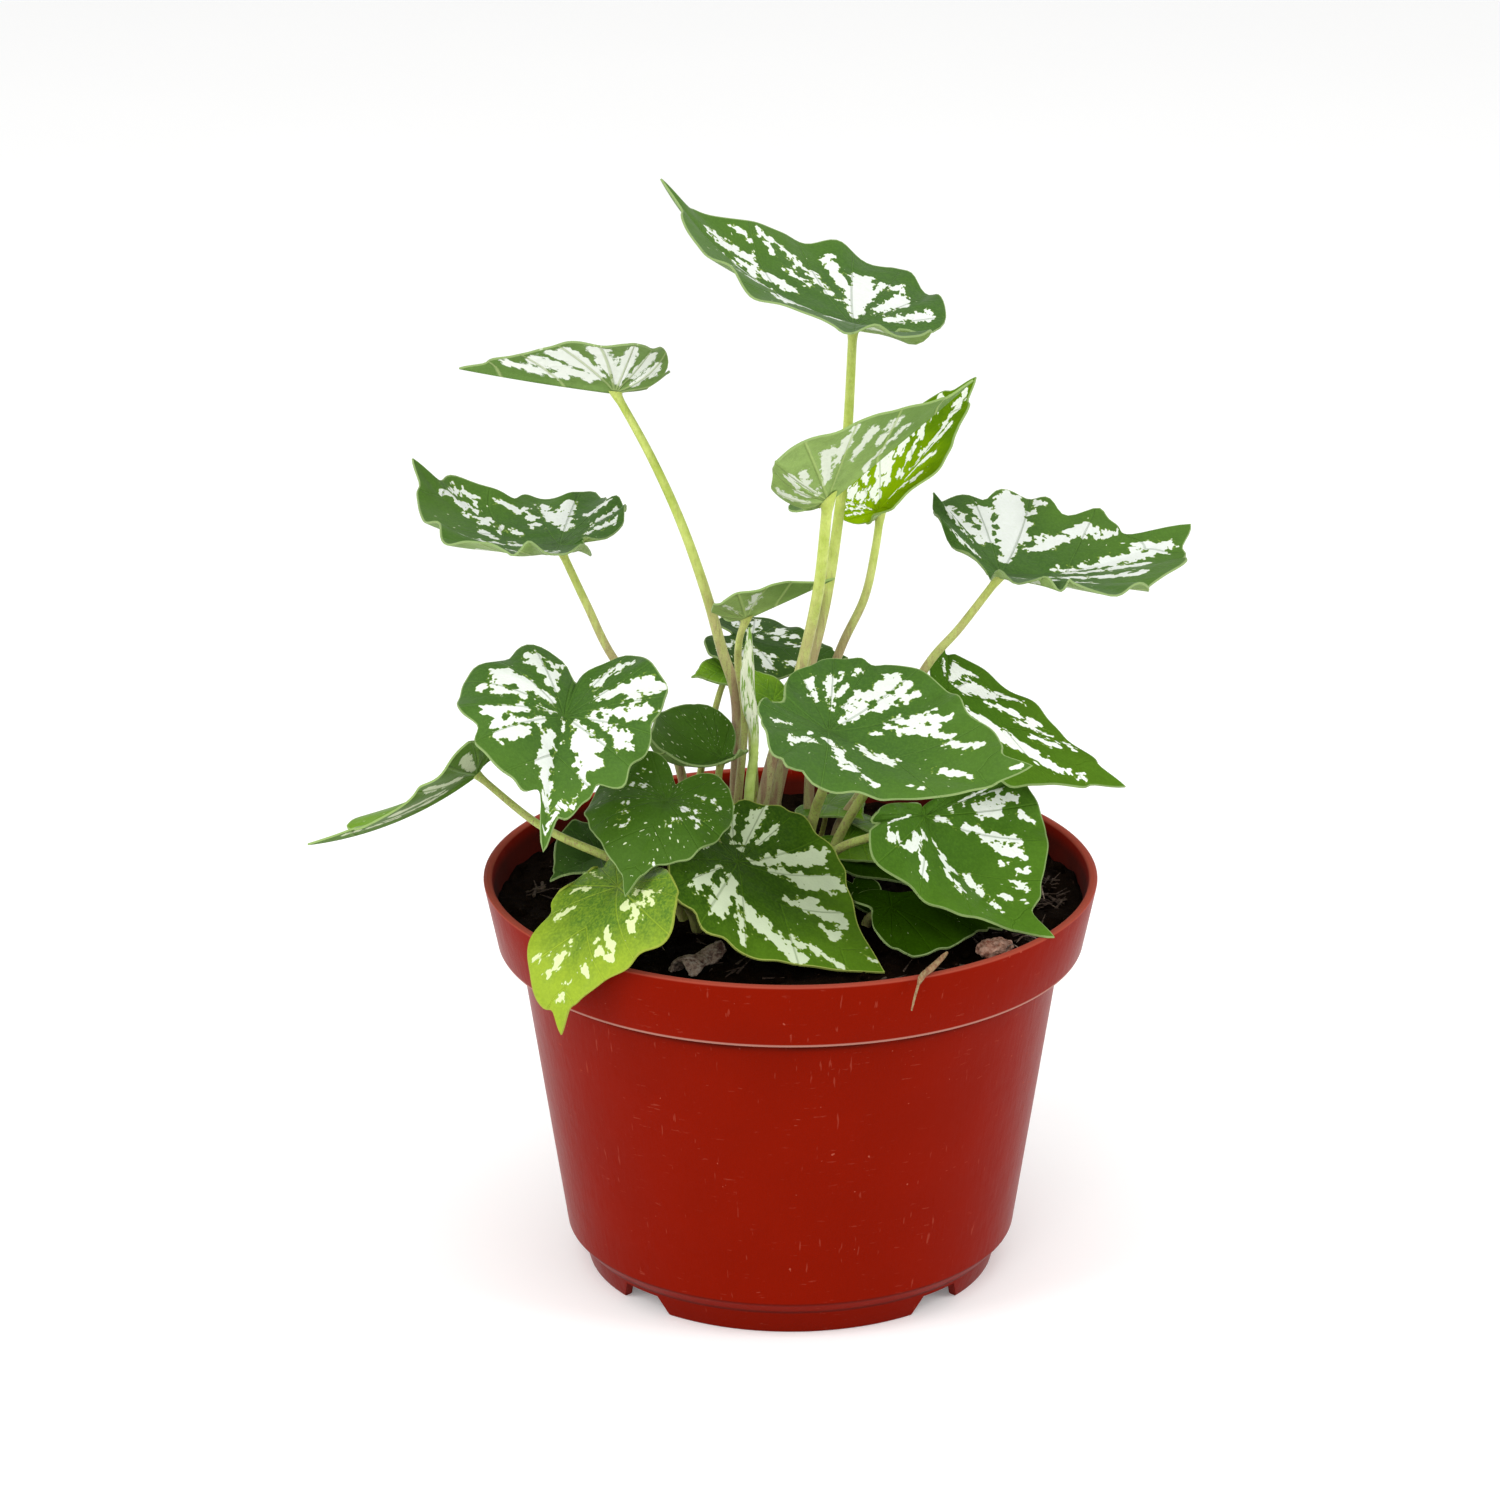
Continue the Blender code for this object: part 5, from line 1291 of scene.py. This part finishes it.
# the chip is a strip bent sideways, broad at one end and curled up at the other
deselect()
bpy.ops.mesh.primitive_grid_add(x_subdivisions=36, y_subdivisions=16, size=2.0)
chip = bpy.context.object
heading = math.radians(CHIP_HEADING)
for point in chip.data.vertices:
    s, t = (point.co.x + 1) / 2, point.co.y
    half = 1.5 + 2.6 * (1 - s) ** 0.8 * min(1.0, s / 0.12 + 0.4)
    x = (s - 0.5) * CHIP_LENGTH
    y = t * half - 3.0 * s * s
    z = 3.2 * (1 - t * t) * (1 - 0.3 * s) + 2.2 * s ** 3 + 0.4 * math.sin(9 * s + 2 * t)
    far = (CHIP_PLACE[0] + x * math.cos(heading) - y * math.sin(heading),
           CHIP_PLACE[1] + x * math.sin(heading) + y * math.cos(heading))
    point.co = ((POT_AXIS.x + far[0] * MM), far[1] * MM, (soil_surface(*far) + 0.9 + z) * MM)
apply(chip, "SOLIDIFY", thickness=0.9 * MM, offset=0.0)
apply(chip, "SUBSURF", levels=1, render_levels=1)
apply(chip, "DISPLACE", texture=cloud("bark_ridges", 1.2, 3), strength=0.7 * MM, mid_level=0.5)
settle(chip, "bark_chip_grey", pale_finish)
bpy.ops.object.shade_smooth()
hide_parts("bark_1")
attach(chip, "root")

lump_skin = Skin("bark_tan", Specular_IOR_Level=0.15)
place = lump_skin.place()
mottle = lump_skin.noise(place, 700.0, 4.0, 0.65)
colour = lump_skin.mix(mottle.between(0.35, 0.65), (0.34, 0.13, 0.08), (0.74, 0.46, 0.34))
deselect()
bpy.ops.mesh.primitive_ico_sphere_add(subdivisions=5, radius=1.0)
lump = bpy.context.object
lump.scale = (4.6 * MM, 3.0 * MM, 2.3 * MM)
lump.rotation_euler = (0, 0, math.radians(28))
lump.location = (POT_AXIS.x + LUMP_PLACE[0] * MM, LUMP_PLACE[1] * MM,
                 (soil_surface(*LUMP_PLACE) + 1.4) * MM)
settle(lump, "bark_lump_tan", lump_skin.finish(colour, 0.9, ((mottle, 0.0008),)))
for size, strength in ((3.0, 1.6), (1.0, 0.9), (0.4, 0.3)):
    apply(lump, "DISPLACE", texture=cloud(f"lump_{size}", size), strength=strength * MM,
          mid_level=0.5)
bpy.ops.object.shade_smooth()
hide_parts("bark_2")
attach(lump, "root")

route = smooth_route(TWIG_POINTS, 0.5)
radii = np.interp(np.linspace(0, 1, len(route)), *zip(*TWIG_RADII))
twig = build_tube("straw_twig", route, radii, straw_finish, sides=12, roll=0.35)
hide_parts("straw")
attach(twig, "root")

chance = random.Random(11)
deselect()
bpy.ops.mesh.primitive_cone_add(vertices=5, radius1=1.0, radius2=0.35, depth=2.0)
splinter = bpy.context.object
bpy.ops.object.mode_set(mode="EDIT")
bpy.ops.mesh.select_all(action="SELECT")
bpy.ops.mesh.subdivide(number_cuts=2)
bpy.ops.object.mode_set(mode="OBJECT")
apply(splinter, "DISPLACE", texture=cloud("splinter", 900.0), strength=0.5, mid_level=0.5)
splinters = []
for (x0, y0), spread, count in SPLINTER_HEAPS:
    for number in range(count):
        away, turn = spread * math.sqrt(chance.random()), chance.uniform(0, 2 * math.pi)
        x, y = x0 + away * math.cos(turn), y0 + away * math.sin(turn)
        if math.hypot(x, y) > SOIL_EDGE - 3.5:
            continue
        twin = copy_of(splinter)
        thick = chance.uniform(0.12, 0.28)
        twin.scale = (thick * MM, thick * 1.6 * MM, chance.uniform(1.2, 3.2) * MM)
        twin.rotation_euler = (0, math.radians(chance.uniform(68, 96)), chance.uniform(0, 6.28))
        twin.location = (POT_AXIS.x + x * MM, y * MM, (soil_surface(x, y) + 0.8) * MM)
        splinters.append(twin)
bpy.data.objects.remove(splinter)
splinters = join(splinters, "bark_splinters", bark_finish)
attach(splinters, "root")

ROOTS = (
    ((47.5, -37, 87.5), (48.5, -36, 89.6), (50, -38, 90.6), (52, -40.5, 89), (52.6, -41.5, 86)),
    ((50, -30, 87), (52, -29, 89.2), (55, -31, 89.4), (56.5, -33, 86.5)),
    ((-34, -33, 87), (-32, -32, 88.8), (-29, -33, 88.6), (-27.5, -34, 86.5)),
    ((56, 12, 87), (55, 8, 89), (57, 3, 89.3), (58, 0, 86.5)),
)
rootlets = []
for number, points in enumerate(ROOTS):
    route = smooth_route(points, 0.6)
    radii = 0.14 + 0.04 * np.sin(np.linspace(0, 9, len(route)))
    rootlets.append(build_tube(f"root_{number}", route, radii, pale_finish, sides=6))
rootlets = join(rootlets, "dead_roots", pale_finish)
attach(rootlets, "root")


# Floor, light and camera. A plain pale studio floor, wide soft lights and a
# camera a little over a metre away, looking down at twenty degrees.
CAMERA_PLACE = (POT_AXIS.x, -1.300, 0.5954)
CAMERA_TILT = 70.03
CAMERA_LENS = 146.74
CAMERA_SHIFT = -0.027
SKY_STRENGTH = 0.75
PLANT_MIDDLE = (0, 0, 0.12)

deselect()
bpy.ops.mesh.primitive_plane_add(size=6.0, location=(0, 0, 0))
floor = bpy.context.object
pale = Skin("floor", Emission_Color=(1, 1, 1, 1), Emission_Strength=0.15)
place = pale.place()
colour = pale.mix(pale.noise(place, 8.0, 2.0, 0.5).between(0.3, 0.7), (0.885, 0.885, 0.88),
                  (0.89, 0.89, 0.885))
settle(floor, "floor", pale.finish(colour, 0.7))


def soft_light(name, place, target, width, height, power):
    """A wide soft light that looks at a point."""
    deselect()
    bpy.ops.object.light_add(type="AREA", location=place)
    lamp = bpy.context.object
    lamp.name = name
    lamp.data.shape = "RECTANGLE"
    lamp.data.size, lamp.data.size_y = width, height
    lamp.data.energy = power
    lamp.rotation_euler = (Vector(target) - Vector(place)).to_track_quat("-Z", "Y").to_euler()


soft_light("light_left", (-0.9, -0.5, 0.7), PLANT_MIDDLE, 0.5, 1.0, 6.5)
soft_light("light_front", (-0.25, -1.5, 1.0), PLANT_MIDDLE, 0.8, 0.8, 6.0)
soft_light("light_right", (0.95, -0.35, 0.6), PLANT_MIDDLE, 0.4, 1.0, 5.5)
soft_light("light_top", (0.0, -0.3, 1.4), (0, 0, 0.1), 1.4, 1.4, 5.5)

world = bpy.data.worlds.new("studio")
bpy.context.scene.world = world
world.use_nodes = True
sky = world.node_tree.nodes["Background"].inputs
sky["Color"].default_value = (1, 1, 1, 1)
sky["Strength"].default_value = SKY_STRENGTH

deselect()
bpy.ops.object.camera_add(location=CAMERA_PLACE, rotation=(math.radians(CAMERA_TILT), 0, 0))
camera = bpy.context.object
camera.name = "camera"
camera.data.sensor_width = 36.0
camera.data.lens = CAMERA_LENS
camera.data.shift_x = CAMERA_SHIFT
bpy.context.scene.camera = camera
bpy.context.scene.view_settings.view_transform = "Standard"
